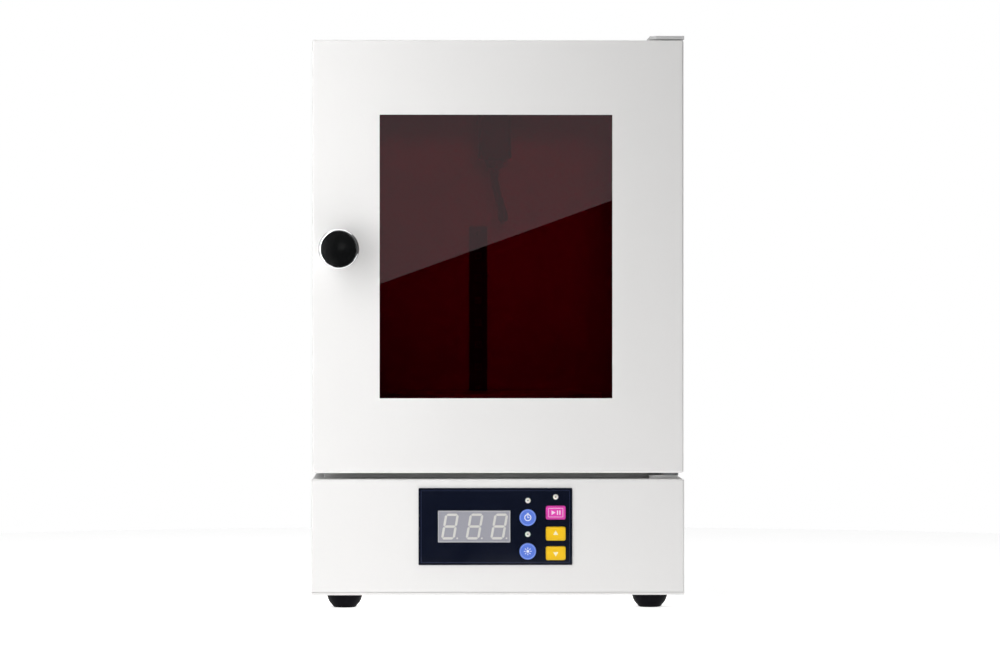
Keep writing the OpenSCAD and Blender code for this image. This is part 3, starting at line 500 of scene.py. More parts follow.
def linear(hex_colour: str) -> tuple[float, float, float, float]:
    """Turns an sRGB hex colour into linear light."""
    parts = [int(hex_colour[k : k + 2], 16) / 255 for k in (1, 3, 5)]
    red, green, blue = (p / 12.92 if p <= 0.04045 else ((p + 0.055) / 1.055) ** 2.4 for p in parts)
    return red, green, blue, 1.0


def add(tree: Tree, kind: str, values: dict | None = None, links: dict | None = None, **settings) -> Node:
    """Adds a node to a tree.

    Args:
        tree: the node tree.
        kind: the node's type.
        values: values of its inputs, by name or number.
        links: sockets that its inputs take, by name or number.
        settings: the node's own settings.

    Returns:
        The node.
    """
    node = tree.nodes.new(kind)
    for key, value in settings.items():
        setattr(node, key, value)
    for key, value in (values or {}).items():
        node.inputs[key].default_value = value
    for key, socket in (links or {}).items():
        tree.links.new(socket, node.inputs[key])
    return node


class Surface(Enum):
    """How a surface was made, which gives it its relief."""

    ORANGE_PEEL = "sprayed and baked"
    ROLLED = "rolled sheet"
    SPANGLED = "hot-dip zinc"
    GROUND = "ground or turned"
    MOULDED = "moulded in a spark-eroded tool"
    POLISHED = "polished"
    PRINTED = "printed"


# How far the relief is drawn out along X, Y and Z, and how fine its noise is
GRAIN_STRETCH = {Surface.ROLLED: (1.0, 1.0, 0.03), Surface.GROUND: (0.06, 1.0, 1.0)}
GRAIN_DETAIL = {Surface.MOULDED: 3.0, Surface.POLISHED: 0.0, Surface.ORANGE_PEEL: 1.0}
PLAIN_DETAIL = 2.0
MOTTLE_SCALE = 18.0  # of the broad mottle, in waves a metre
GRAIN_SHARE = 0.35  # of the grain where it is blended with the mottle
BLEND_SPAN = (0.3, 0.7)  # where most of that blend lies
LEAST_ROUGH = 0.02
COAT_ROUGH = 0.05


@dataclass(frozen=True)
class Finish:
    """A finish: what the surface is made of and how it was made.

    The grain is the width of the surface's relief and the depth its height, in millimetres. The
    tone is how much the colour varies, and the wander how much the roughness does. The gloss is the
    share of light that the surface itself sends back, where 0.5 is clean and less is dusty or chalky.
    """

    name: str
    slot: str
    colour: str
    roughness: float
    surface: Surface
    metallic: float = 0.0
    ior: float = 1.5
    coat: float = 0.0
    grain: float = 0.8
    depth: float = 0.01
    tone: float = 0.03
    wander: float = 0.04
    anisotropic: float = 0.0
    subsurface: float = 0.0
    gloss: float = 0.5

    def relief(self, tree: Tree) -> tuple:
        """Adds the pattern of the relief.

        Args:
            tree: the material's node tree.

        Returns:
            The pattern's socket, from 0 to 1, and the broad mottle's socket.
        """
        place = add(tree, "ShaderNodeTexCoord").outputs["Object"]
        stretch = GRAIN_STRETCH.get(self.surface, (1.0, 1.0, 1.0))
        along = add(tree, "ShaderNodeMapping", {"Scale": stretch}, {"Vector": place}).outputs[0]
        values = {"Scale": 1 / (self.grain * MM)}
        if self.surface is Surface.SPANGLED:
            grain = add(tree, "ShaderNodeTexVoronoi", values, {"Vector": along}).outputs["Color"]
        else:
            values["Detail"] = GRAIN_DETAIL.get(self.surface, PLAIN_DETAIL)
            grain = add(tree, "ShaderNodeTexNoise", values, {"Vector": along}).outputs["Fac"]
        values = {"Scale": MOTTLE_SCALE, "Detail": PLAIN_DETAIL}
        mottle = add(tree, "ShaderNodeTexNoise", values, {"Vector": place}).outputs["Fac"]
        return grain, mottle

    def skin(self, tree: Tree, lighter: float) -> tuple:
        """Adds what the relief gives a shader.

        Args:
            tree: the material's node tree.
            lighter: how much lighter than the colour its lightest tone is.

        Returns:
            The sockets of the blended pattern, the colour and the bump.
        """
        grain, mottle = self.relief(tree)
        base = linear(self.colour)[:3]
        dark = (*(c * (1 - self.tone) for c in base), 1.0)
        light = (*(min(1.0, c * (1 + lighter)) for c in base), 1.0)
        links = {2: mottle, 3: grain}
        blend = add(tree, "ShaderNodeMix", {0: GRAIN_SHARE}, links, data_type="FLOAT").outputs[0]
        colour = add(tree, "ShaderNodeMix", {6: dark, 7: light}, {0: blend}, data_type="RGBA").outputs[2]
        values = {"Strength": 1.0, "Distance": self.depth * MM}
        bump = add(tree, "ShaderNodeBump", values, {"Height": grain}).outputs[0]
        return blend, colour, bump

    def shader(self, tree: Tree) -> Node:
        """Adds the shader, fed by the relief.

        Args:
            tree: the material's node tree.

        Returns:
            The shader node.
        """
        blend, colour, bump = self.skin(tree, self.tone)
        values = {
            "From Min": BLEND_SPAN[0],
            "From Max": BLEND_SPAN[1],
            "To Min": max(LEAST_ROUGH, self.roughness - self.wander),
            "To Max": min(1.0, self.roughness + self.wander),
        }
        rough = add(tree, "ShaderNodeMapRange", values, {"Value": blend}).outputs[0]
        values = {"Metallic": self.metallic, "Coat Weight": self.coat, "Coat Roughness": COAT_ROUGH}
        if not self.metallic:
            values |= {"IOR": self.ior, "Specular IOR Level": self.gloss}
        if self.anisotropic:
            values["Anisotropic"] = self.anisotropic
        if self.subsurface:
            values |= {"Subsurface Weight": self.subsurface, "Subsurface Scale": MM}
        links = {"Base Color": colour, "Roughness": rough, "Normal": bump}
        return add(tree, "ShaderNodeBsdfPrincipled", values, links)

    def material(self) -> Material:
        """The finish's material, made the first time it is asked for."""
        made = bpy.data.materials.get(self.name)
        if made is None:
            made = bpy.data.materials.new(self.name)
            made.use_nodes = True
            tree = made.node_tree
            tree.nodes.clear()
            shader = self.shader(tree).outputs[0]
            add(tree, "ShaderNodeOutputMaterial", links={"Surface": shader})
        return made


@dataclass(frozen=True)
class ClearFinish(Finish):
    """A finish that lets light through, tinted on its way.

    The tint is what a ray keeps as it passes the whole piece.
    """

    tint: str = "#ffffff"
    clear: float = 1.0

    def shader(self, tree: Tree) -> Node:
        """Adds a glass shader, with a tinted way through for the lamps' light.

        Args:
            tree: the material's node tree.

        Returns:
            The shader node.
        """
        _, colour, bump = self.skin(tree, 0.0)
        values = {"Roughness": self.roughness, "IOR": self.ior, "Transmission Weight": self.clear}
        glass = add(tree, "ShaderNodeBsdfPrincipled", values, {"Base Color": colour, "Normal": bump})
        lamp_way = add(tree, "ShaderNodeBsdfTransparent", {"Color": linear(self.tint)})
        shadow = add(tree, "ShaderNodeLightPath").outputs["Is Shadow Ray"]
        links = {0: shadow, 1: glass.outputs[0], 2: lamp_way.outputs[0]}
        return add(tree, "ShaderNodeMixShader", links=links)


def key_abs(name: str, slot: str, colour: str) -> Finish:
    """ABS of a key, from a polished tool: a fine grain under a soft clear gloss."""
    return Finish(name, slot, colour, 0.3, Surface.MOULDED, grain=0.5, depth=0.003, coat=0.2)


def pad_print(name: str, slot: str, colour: str, roughness: float = 0.45) -> Finish:
    """Pad-printed ink: a thin covering film, duller than the plastic under it."""
    return Finish(name, slot, colour, roughness, Surface.PRINTED, grain=0.5, depth=0.002)


# Polyester powder coat, sprayed and baked: satin, with a faint orange peel that breaks up highlights
WHITE_COAT = Finish(
    "white polyester powder coat", "white_powder_coat", "#f0efee", 0.38, Surface.ORANGE_PEEL, grain=1.6,
    depth=0.006, tone=0.012
)
# The same white coat with painted shade, light grey on the hinge plates, and a shade duller
SHADED_PLATE_COAT = Finish(
    "white powder coat in painted shade", "white_powder_coat", "#cfcfcf", 0.42, Surface.ORANGE_PEEL, grain=1.4,
    depth=0.006, tone=0.012
)
# Hot-dip galvanised sheet: broad zinc crystals that mirror light unevenly
ZINC_SHEET = Finish(
    "galvanised steel sheet", "zinc_sheet", "#b9bcbf", 0.34, Surface.SPANGLED, metallic=1.0, grain=7.0,
    depth=0.002, tone=0.10, wander=0.08
)
# Polished stainless liner: a hazy mirror with faint rolling lines
MIRROR_STEEL = Finish(
    "mirror polished stainless", "mirror_steel", "#c9cbcc", 0.24, Surface.ROLLED, metallic=1.0,
    grain=0.5, depth=0.0006, tone=0.02, wander=0.03, anisotropic=0.3
)
# Extruded and anodised aluminium: a dull metallic black that shows the die's lines
BLACK_ANODISED = Finish(
    "black anodised aluminium", "black_anodised", "#26272a", 0.42, Surface.ROLLED, metallic=0.6,
    grain=0.4, depth=0.002, tone=0.08
)
# Zinc-plated turned steel: bright, with turning lines
PLATED_STEEL = Finish(
    "zinc plated steel", "steel_fastener", "#c3c5c8", 0.28, Surface.GROUND, metallic=1.0, grain=0.3,
    depth=0.002, tone=0.06
)
# Chrome on turned and polished brass: a clean mirror with hardly any waviness
CHROME = Finish(
    "chromed brass", "knob_chrome", "#e4e5e6", 0.08, Surface.POLISHED, metallic=1.0, grain=6.0,
    depth=0.002, tone=0.02, wander=0.02
)
# Deep-drawn steel can: greyer than plating, streaked by the die
MOTOR_CAN = Finish(
    "drawn steel motor can", "motor_can", "#a9acb0", 0.33, Surface.GROUND, metallic=1.0, grain=0.5,
    depth=0.002, tone=0.06
)
# Punched and folded aluminium in mill finish: soft grey shine with rolling lines
PUNCHED_ALUMINIUM = Finish(
    "punched aluminium case", "psu_case", "#bfc2c5", 0.36, Surface.ROLLED, metallic=1.0, grain=0.6,
    depth=0.002
)
# Welded wire, nickel plated: bright, with fine drawing lines
GUARD_WIRE = Finish(
    "nickel plated wire", "guard_wire", "#cdcfd1", 0.22, Surface.GROUND, metallic=1.0, grain=0.4,
    depth=0.002
)
# Glass-filled PBT moulding: near black, dulled by a spark-eroded grain
BLACK_PBT = Finish(
    "moulded black PBT", "black_plastic", "#191a1c", 0.48, Surface.MOULDED, grain=0.5, depth=0.006,
    tone=0.10
)
# ABS moulding: charcoal, a little duller than the black parts
HANGER_PLASTIC = Finish(
    "moulded charcoal ABS", "black_plastic", "#242427", 0.5, Surface.MOULDED, grain=0.5, depth=0.006,
    tone=0.08
)
# Nylon bushes, turned: waxy grey that lets a little light in
GREY_NYLON = Finish(
    "machined nylon", "bush_nylon", "#6f7173", 0.45, Surface.GROUND, grain=0.3, depth=0.004,
    subsurface=0.2
)
# Moulded nitrile rubber: dead black, dusty, with a coarse grain and next to no shine
FOOT_RUBBER = Finish(
    "moulded nitrile rubber", "foot_rubber", "#0b0a10", 0.5, Surface.MOULDED, grain=0.7, depth=0.02,
    tone=0.12, gloss=0.05
)
# Extruded silicone: milky, soft, with the nozzle's faint lines
GASKET_SILICONE = Finish(
    "extruded silicone", "gasket_silicone", "#dcdcd8", 0.55, Surface.ROLLED, grain=0.8, depth=0.006,
    subsurface=0.15
)
# Panel overlay: gloss polycarbonate printed black-blue on its back, with a slow waviness
PANEL_GLOSS = Finish(
    "gloss polycarbonate overlay", "panel_gloss", "#0d1222", 0.12, Surface.POLISHED, grain=9.0,
    depth=0.003, tone=0.25, wander=0.03
)
# Screen-printed line on the overlay: a duller, lighter blue that shows only at a slant
OVERLAY_LINE = Finish(
    "printed border line", "panel_gloss", "#2c3350", 0.3, Surface.PRINTED, grain=0.6, depth=0.002
)
# Unlit display: milky smoked epoxy, a lighter copy of it as painted highlight on its cut edge, and its pale
# diffusing strokes
DISPLAY_GREY = Finish(
    "smoked display epoxy", "display_grey", "#a0a0aa", 0.4, Surface.MOULDED, grain=0.45, depth=0.003,
    tone=0.07
)
DISPLAY_EDGE_HIGHLIGHT = Finish(
    "display case edge highlight", "display_grey", "#c6c6ca", 0.4, Surface.MOULDED, grain=0.45, depth=0.003
)
DISPLAY_STROKE = Finish(
    "diffusing display stroke", "display_segment", "#dad9d4", 0.35, Surface.MOULDED, grain=0.4,
    depth=0.003, tone=0.05
)
# Cast epoxy lens: glassy and milky at once, over a small pressed cup that glints
LAMP_LENS = Finish(
    "water-clear epoxy lens", "lamp_clear", "#f1eee2", 0.12, Surface.POLISHED, coat=1.0, grain=3.0,
    depth=0.002, subsurface=0.3
)
LAMP_CUP = Finish(
    "lamp reflector cup", "lamp_clear", "#8d897c", 0.3, Surface.POLISHED, metallic=1.0, grain=2.0
)
BLUE_KEY = key_abs("moulded blue ABS", "key_blue", "#5a7fe6")
# Each rim finish is the key's own plastic made lighter: painted highlight on the key's raised rim
BLUE_RIM_HIGHLIGHT = key_abs("blue key rim highlight", "key_blue", "#8fabff")
PINK_KEY = key_abs("moulded magenta ABS", "key_pink", "#ec3fb8")
PINK_RIM_HIGHLIGHT = key_abs("magenta key rim highlight", "key_pink", "#ff86d6")
YELLOW_KEY = key_abs("moulded yellow ABS", "key_yellow", "#ffcb00")
YELLOW_RIM_HIGHLIGHT = key_abs("yellow key rim highlight", "key_yellow", "#ffe04a")
WHITE_INK = pad_print("white pad print", "key_blue", "#f4f6fb")
PINK_INK = pad_print("white pad print on magenta", "key_pink", "#fbe3f3")
CREAM_INK = pad_print("white pad print on yellow", "key_yellow", "#fff6cf")
SWITCH_INK = pad_print("white pad print on black", "black_plastic", "#e6e6e6", 0.5)
# Etched circuit board: deep green solder mask with a thin gloss, mottled by the copper under it
BOARD_GREEN = Finish(
    "solder mask on glass epoxy", "board_green", "#1d5a34", 0.35, Surface.ROLLED, grain=1.2, depth=0.01,
    tone=0.2, coat=0.3
)
# Lamp chips: moulded silicone domes over a dark die, dull while unlit
LAMP_CHIP = Finish(
    "silicone dome on ceramic", "lamp_chip", "#2b281e", 0.3, Surface.POLISHED, coat=0.1, grain=2.0,
    depth=0.002, subsurface=0.2
)
# Pressed acrylic face of the knob: gloss black with an uneven pebbled shine
KNOB_FACE = Finish(
    "gloss black knob face", "knob_black", "#070809", 0.2, Surface.MOULDED, grain=1.6, depth=0.03,
    tone=0.3, wander=0.08
)
# Cast acrylic: the door's filter pane takes out all but deep red, and the turntable is frosted and clear
FILTER_ACRYLIC = ClearFinish(
    "cast red filter acrylic", "filter_acrylic", "#b01c46", 0.0, Surface.POLISHED, ior=1.49, grain=40.0,
    depth=0.0, tone=0.02, tint="#8a0810"
)
CLEAR_ACRYLIC = ClearFinish(
    "frosted cast acrylic", "turntable_acrylic", "#eef1f2", 0.28, Surface.POLISHED, ior=1.49, grain=3.0,
    depth=0.002, tint="#c8ccce", clear=0.75
)


def dress(
    piece: Piece, finish: Finish, body: str, replaces: Sequence[str] = (), angle: float = 32.0
) -> Piece:
    """Gives a finished piece its smooth shading, material and body.

    Args:
        piece: the piece.
        finish: its finish.
        body: the CAD body that it rides on.
        replaces: CAD nodes that it stands for.
        angle: edges flatter than this are shaded smooth, in degrees.

    Returns:
        The piece.
    """
    pick(piece)
    bpy.ops.object.shade_smooth_by_angle(angle=math.radians(angle))
    modify(piece, "WEIGHTED_NORMAL", keep_sharp=True)
    piece.data.materials.clear()
    piece.data.materials.append(finish.material())
    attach(piece, body)
    LOG.info("  %s: %s", piece.name, finish.name)
    if replaces:
        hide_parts(*replaces)
    return piece


def coat(finish: Finish, *nodes: str) -> None:
    """Gives CAD nodes that keep their shape a finish."""
    for node in nodes:
        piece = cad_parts[node]
        if not piece.data.materials:
            piece.data.materials.append(None)
        for slot in piece.material_slots:
            slot.material = finish.material()
        LOG.info("  %s: %s", node, finish.name)


# Sub-assemblies


@dataclass
class FoldedSheet:
    """A sheet folded into a pan, open on some sides.

    The open sides are named by axis and end, such as y1 for the side at the largest Y. A window is
    cut through along Y. A rim is a flange folded inwards round the last open side.
    """

    box: Box
    thickness: float
    open_sides: tuple[str, ...]
    corner: float = 1.4
    window: Box | None = None
    rim: float = 0.0
    cut_edge: float = 0.22

    def build(self, name: str) -> Piece:
        """Models the folded sheet.

        Args:
            name: the piece's name.

        Returns:
            The piece.
        """
        piece = block(name, self.box)
        sides = []
        for side in self.open_sides:
            end = self.box.low if side[1] == "0" else self.box.high
            sides.append(("xyz".index(side[0]), end))

        def open_at(*points: Vector) -> bool:
            """True if all the points lie on the same open side."""
            return any(all(near(point[axis], end[axis]) for point in points) for axis, end in sides)

        with editing(piece, "EDGE") as choose:
            choose(lambda a, b: not open_at(a, b))
            bevel(self.corner, 4)
        with editing(piece) as choose:
            choose(lambda middle, normal: open_at(middle))
            bpy.ops.mesh.delete(type="FACE")
            if self.window:
                for axis in (0, 2):
                    slice_at(self.window.low[axis], axis)
                    slice_at(self.window.high[axis], axis)
        if self.window:
            with editing(piece) as choose:
                choose(lambda middle, normal: abs(normal.y) > SQUARE and self.window.frames(middle))
                bpy.ops.mesh.delete(type="FACE")
        if self.rim:
            axis, end = sides[-1]
            with editing(piece, "EDGE") as choose:
                choose(lambda a, b: near(a[axis], end[axis]) and near(b[axis], end[axis]))
                bpy.ops.mesh.extrude_edges_move()
                factor = [1 - 2 * self.rim / self.box.size[k] for k in range(3)]
                factor[axis] = 1.0
                bpy.ops.transform.resize(value=factor, center_override=self.box.mid * MM)
        modify(piece, "SOLIDIFY", thickness=self.thickness * MM, offset=-1.0, use_even_offset=True)
        return soften(piece, self.cut_edge, angle=SHARP)


@dataclass(frozen=True)
class PanScrew:
    """A pan-head screw with a square recess, modelled once and copied.

    The dome and the recess's depth are shares of the head's height, and half the recess's side is a
    share of its radius.
    """

    head_r: float
    head_h: float
    shank_r: float
    dome: float = 0.45
    recess: float = 0.4808
    recess_deep: float = 0.5
    tip: float = 0.3
    tip_h: float = 0.5

    def build(self, name: str, foot: Vector, shank: float) -> Piece:
        """Models the screw, with its head to the rear.

        Args:
            name: the piece's name.
            foot: the middle of the head's underside.
            shank: length of the shank under the head.

        Returns:
            The piece.
        """
        roll = self.dome * self.head_h
        outline = [(0, -shank), (self.shank_r - self.tip, -shank), (self.shank_r, self.tip_h - shank),
                   (self.shank_r, 0), (self.head_r, 0)]
        outline += arc((self.head_r - roll, self.head_h - roll), roll, 0, 80, 4)
        piece = turned(name, [*outline, (0, self.head_h)], foot, BACK, 28)
        top = foot + BACK * self.head_h
        side = self.head_r * self.recess
        half = Vector((side, self.head_h * self.recess_deep, side))
        return cut(piece, [block("recess", Box(top - half, top + half))])

    def fit(self, name: str, node: str, body: str) -> None:
        """Copies the screw to each solid of a CAD node of screws.

        Args:
            name: the pieces' name.
            node: the CAD node.
            body: the body that they ride on.
        """
        boxes = solids(node)
        feet = [Vector((box.mid.x, box.high.y - self.head_h, box.mid.z)) for box in boxes]
        model = self.build(name, feet[0], boxes[0].size.y - self.head_h)
        dress(pattern(model, name, [foot - feet[0] for foot in feet]), PLATED_STEEL, body, [node])


@dataclass
class Door:
    """The door: skin, inner sheet, filter pane with its frame, gasket and strike plate."""

    body: str = "door"
    sheet: float = 1.2
    inner: float = 1.0
    inner_corner: float = 1.0
    pane_lap: float = 7.0
    pane_edge: float = 0.4
    sleeve_gap: float = 1.0
    frame_wall: float = 1.2
    nest: float = 0.2
    bush_flange: float = 2.0
    bush_slip: float = 0.05
    seal_w: float = 6.0
    seal_lip: float = 1.6
    seal_edge: float = 0.35
    rib_w: float = 3.0
    rib_drop: float = 0.8

    def window(self) -> Box:
        """The window's opening, worked out from the pane."""
        return node_box("window_pane").grown(x=-self.pane_lap, z=-self.pane_lap)

    def build(self) -> None:
        """Models the door's pieces."""
        self.build_skin()
        self.build_inner()
        self.build_pane()
        self.build_gasket()
        coat(PLATED_STEEL, "strike_plate", "knob_screw", "retainer_nuts")
        coat(GREY_NYLON, "hinge_bushes")

    def build_skin(self) -> None:
        """Models the outer sheet: one folded pan with the window cut out and the bushes' holes."""
        box, bush = node_box("door_outer"), node_box("hinge_bushes")
        skin = FoldedSheet(box, self.sheet, ("y1",), window=self.window()).build("door_skin")
        radius = bush.size.x / 2 - self.bush_flange + self.bush_slip
        reach = self.sheet + OVER
        holes = [drum("hole", (bush.mid.x, bush.mid.y, z - reach), UP, 2 * reach, radius)
                 for z in (box.low.z, box.high.z)]
        dress(cut(skin, holes), WHITE_COAT, self.body, ["door_outer"])

    def build_inner(self) -> None:
        """Models the inner sheet, a shallow pan that faces the chamber."""
        gap = self.sleeve_gap + self.frame_wall + self.nest
        hole = self.window().grown(x=gap, z=gap)
        sheet = FoldedSheet(node_box("door_inner"), self.inner, ("y0",), self.inner_corner, hole)
        dress(sheet.build("door_inner_sheet"), WHITE_COAT, self.body, ["door_inner"])

    def build_pane(self) -> None:
        """Models the filter pane, with flame-polished edges, and the frame that clamps it."""
        pane = soften(block("filter_pane", node_box("window_pane")), self.pane_edge)
        dress(pane, FILTER_ACRYLIC, self.body, ["window_pane"])
        box = node_box("pane_retainer")
        opening = self.window().grown(x=self.sleeve_gap, z=self.sleeve_gap)
        wall = opening.grown(x=self.frame_wall, z=self.frame_wall)
        clamp = block("clamp_frame", box.between(y1=box.low.y + self.frame_wall))
        with editing(clamp) as choose:
            for axis in (0, 2):
                for side in (opening.low, opening.high, wall.low, wall.high):
                    slice_at(side[axis], axis)
            choose(lambda middle, normal: abs(normal.y) > SQUARE and opening.frames(middle))
            bpy.ops.mesh.bridge_edge_loops()
            choose(lambda middle, normal: normal.y > SQUARE and wall.frames(middle))
            extrude((0, box.size.y - self.frame_wall, 0))
        dress(soften(clamp, 0.2, angle=SHARP), ZINC_SHEET, self.body, ["pane_retainer"])

    def build_gasket(self) -> None:
        """Models the gasket: a lipped frame with mitred corners and a sunk channel round it."""
        box = node_box("door_gasket")
        gasket = framed(block("door_seal", box), self.seal_w)
        with editing(gasket) as choose:
            choose(lambda middle, normal: normal.y > SQUARE)
            inset(self.seal_lip)
        near_side, far_side = (self.seal_w - self.rib_w) / 2, (self.seal_w + self.rib_w) / 2

        def in_channel(middle: Vector, normal: Vector) -> bool:
            """True for the faces between the two lips."""
            gaps = (middle.x - box.low.x, box.high.x - middle.x, middle.z - box.low.z, box.high.z - middle.z)
            return normal.y > SQUARE and any(near_side < gap < far_side for gap in gaps)

        with editing(gasket) as choose:
            choose(in_channel)
            extrude((0, -self.rib_drop, 0))
        dress(soften(gasket, self.seal_edge, angle=40), GASKET_SILICONE, self.body, ["door_gasket"])


@dataclass
class Knob:
    """The pull knob: a chromed body, waisted and grooved, with a domed black face."""

    body: str = "door"
    bore_r: float = 2.55
    bore_deep: float = 12.5
    foot_r: float = 8.5
    foot_edge: float = 0.6
    foot_h: float = 0.9
    foot_hollow: float = 1.5
    waist_r: float = 6.5
    neck: float = 3.0
    neck_hollow: float = 2.4
    head: float = 12.0
    edge: float = 1.0
    grooves: int = 3
    groove_deep: float = 0.35
    groove_w: float = 1.1
    groove_slope: float = 0.3
    groove_start: float = 1.0
    groove_rest: float = 2.6
    lip: float = 0.4
    face_slip: float = 0.1
    face_roll: float = 0.15
    seat: float = 3.0
    dome: float = 1.0

    def build(self) -> None:
        """Turns the body and the face."""
        box, face = node_box("knob_body"), node_box("knob_cap")
        self.radius, self.face_r, self.rim = box.size.x / 2, face.size.x / 2, box.size.y
        foot = Vector((box.mid.x, box.high.y, box.mid.z))
        dress(turned("knob_grip", self.grip(), foot, OUT, 96), CHROME, self.body, ["knob_body"], 25)
        dress(turned("knob_face", self.cap(), foot, OUT, 96), KNOB_FACE, self.body, ["knob_cap"], 30)

    def grip(self) -> Outline:
        """The body's outline, from the screw's hole round the outside to the face's seat.

        Returns:
            Radius and height of each corner.
        """
        radius, rim = self.radius, self.rim
        under = rim + self.dome - self.head
        neck = under - self.neck
        outline = [(0, self.bore_deep), (self.bore_r, self.bore_deep), (self.bore_r, 0), (self.foot_r, 0)]
        outline += arc((self.foot_r - self.foot_edge, self.foot_h), self.foot_edge, 0, 90, 3)
        hollow = self.foot_h + self.foot_edge + self.foot_hollow
        outline += arc((self.waist_r + self.foot_hollow, hollow), self.foot_hollow, 270, 180, 4)
        outline += [(self.waist_r, neck)]
        outline += arc((self.waist_r + self.neck_hollow, neck), self.neck_hollow, 180, 110, 5)
        outline += [(radius - self.edge, under)]
        outline += arc((radius - self.edge, under + self.edge), self.edge, 270, 360, 4)
        pitch = (rim - under - 2 * self.edge - self.groove_rest) / self.grooves
        sunk = radius - self.groove_deep
        for k in range(self.grooves):
            low = under + self.edge + self.groove_start + k * pitch
            high = low + self.groove_w
            outline += [(radius, low), (sunk, low + self.groove_slope)]
            outline += [(sunk, high - self.groove_slope), (radius, high)]
        roll = radius - self.face_r - self.lip
        outline += arc((radius - roll, rim - roll), roll, 0, 90, 8)
        slip, seat = self.face_slip, rim - self.seat
        return [*outline, (self.face_r + slip, rim - 0.3), (self.face_r + slip / 2, seat), (0, seat)]

    def cap(self) -> Outline:
        """The domed face's outline, from its seat over the rolled edge to its middle.

        Returns:
            Radius and height of each corner.
        """
        radius, rim = self.face_r, self.rim
        ball = (radius**2 + self.dome**2) / (2 * self.dome)
        sink = rim + self.dome - ball
        dome = [(r, sink + math.sqrt(ball**2 - r * r)) for r in (radius * (1 - k / 8) for k in range(9))]
        seat, edge = rim - self.seat + 0.02, dome[0][1]
        side = [(0, seat), (radius, seat), (radius, edge - self.face_roll), (radius - 0.12, edge + 0.02)]
        return [*side, *dome[1:]]


@dataclass
class Cabinet:
    """The upper cabinet: shell, rear cover, front frame, hinge plates and catch."""

    body: str = "cabinet"
    sheet: float = 1.2
    rim: float = 12.0
    cover_corner: float = 1.0
    slot_w: float = 40.0
    slot_h: float = 3.0
    slot_pitch: float = 8.0
    slot_x: float = 45.0
    slot_rise: float = 40.0
    slot_rows: int = 6
    plate_cut: float = 4.0
    plate_back: float = 4.0
    pin_slip: float = 0.01
    screw_slip: float = 0.1
    screw_sink: float = 1.3

    def build(self) -> None:
        """Models the cabinet's pieces."""
        shell = FoldedSheet(node_box("cabinet_shell"), self.sheet, ("y0", "z0", "y1"), rim=self.rim)
        dress(shell.build("cabinet_skin"), WHITE_COAT, self.body, ["cabinet_shell"])
        coat(WHITE_COAT, "cabinet_front")
        coat(ZINC_SHEET, "cabinet_floor")
        coat(BLACK_PBT, "magnet_catch")
        coat(PLATED_STEEL, "hinge_pins", "flat_screws")
        self.build_rear()
        self.build_plate("upper_hinge_plate", "hinge_bracket_top", 0.0)
        self.build_plate("lower_hinge_plate", "hinge_bracket_bottom", self.plate_back)

    def build_rear(self) -> None:
        """Models the rear cover with its air slots and the fan's opening."""
        box = node_box("cabinet_back")
        cover = rounded_slab("cabinet_rear_cover", box, self.cover_corner)
        half = Vector((self.slot_w / 2, box.size.y / 2 + OVER, self.slot_h / 2))
        cutters = []
        for x in (-self.slot_x, self.slot_x):
            for row in range(self.slot_rows):
                at = Vector((x, box.mid.y, box.low.z + self.slot_rise + row * self.slot_pitch))
                cutters.append(rounded_slab("slot", Box(at - half, at + half), self.slot_h / 2 - 0.02))
        cutters.append(bore(box, node_box("fan_frame").mid, 1, FAN_BORE / 2, 72))
        dress(soften(cut(cover, cutters), 0.2, angle=SHARP), WHITE_COAT, self.body, ["cabinet_back"])

    def build_plate(self, name: str, node: str, back: float) -> None:
        """Models a hinge plate with its cut corner, the pin's hole and the screws' sinks.

        Args:
            name: the piece's name.
            node: the CAD node.
            back: how far its outer end and its front lie back from the node's.
        """
        box = node_box(node)
        box = box.between(x1=box.high.x - back, y0=box.low.y + back)
        plate = block(name, box)
        with editing(plate, "EDGE") as choose:
            choose(lambda a, b: all(near(p.x, box.low.x) and near(p.y, box.low.y) for p in (a, b)))
            bevel(self.plate_cut)
        pins = node_box("hinge_pins")
        holes = [bore(box, pins.mid, 2, pins.size.x / 2 + self.pin_slip)]
        for screw in solids("flat_screws"):
            if near(screw.high.z, box.high.z, 0.3) and screw.mid.x > box.low.x:
                seat = (screw.mid.x, screw.mid.y, box.high.z - self.screw_sink)
                radius = screw.size.x / 2 + self.screw_slip
                holes.append(drum("sink", seat, UP, self.screw_sink + OVER, radius))
        # the plates take the white coat painted light grey: painted shade
        dress(soften(cut(plate, holes), 0.25), SHADED_PLATE_COAT, self.body, [node])


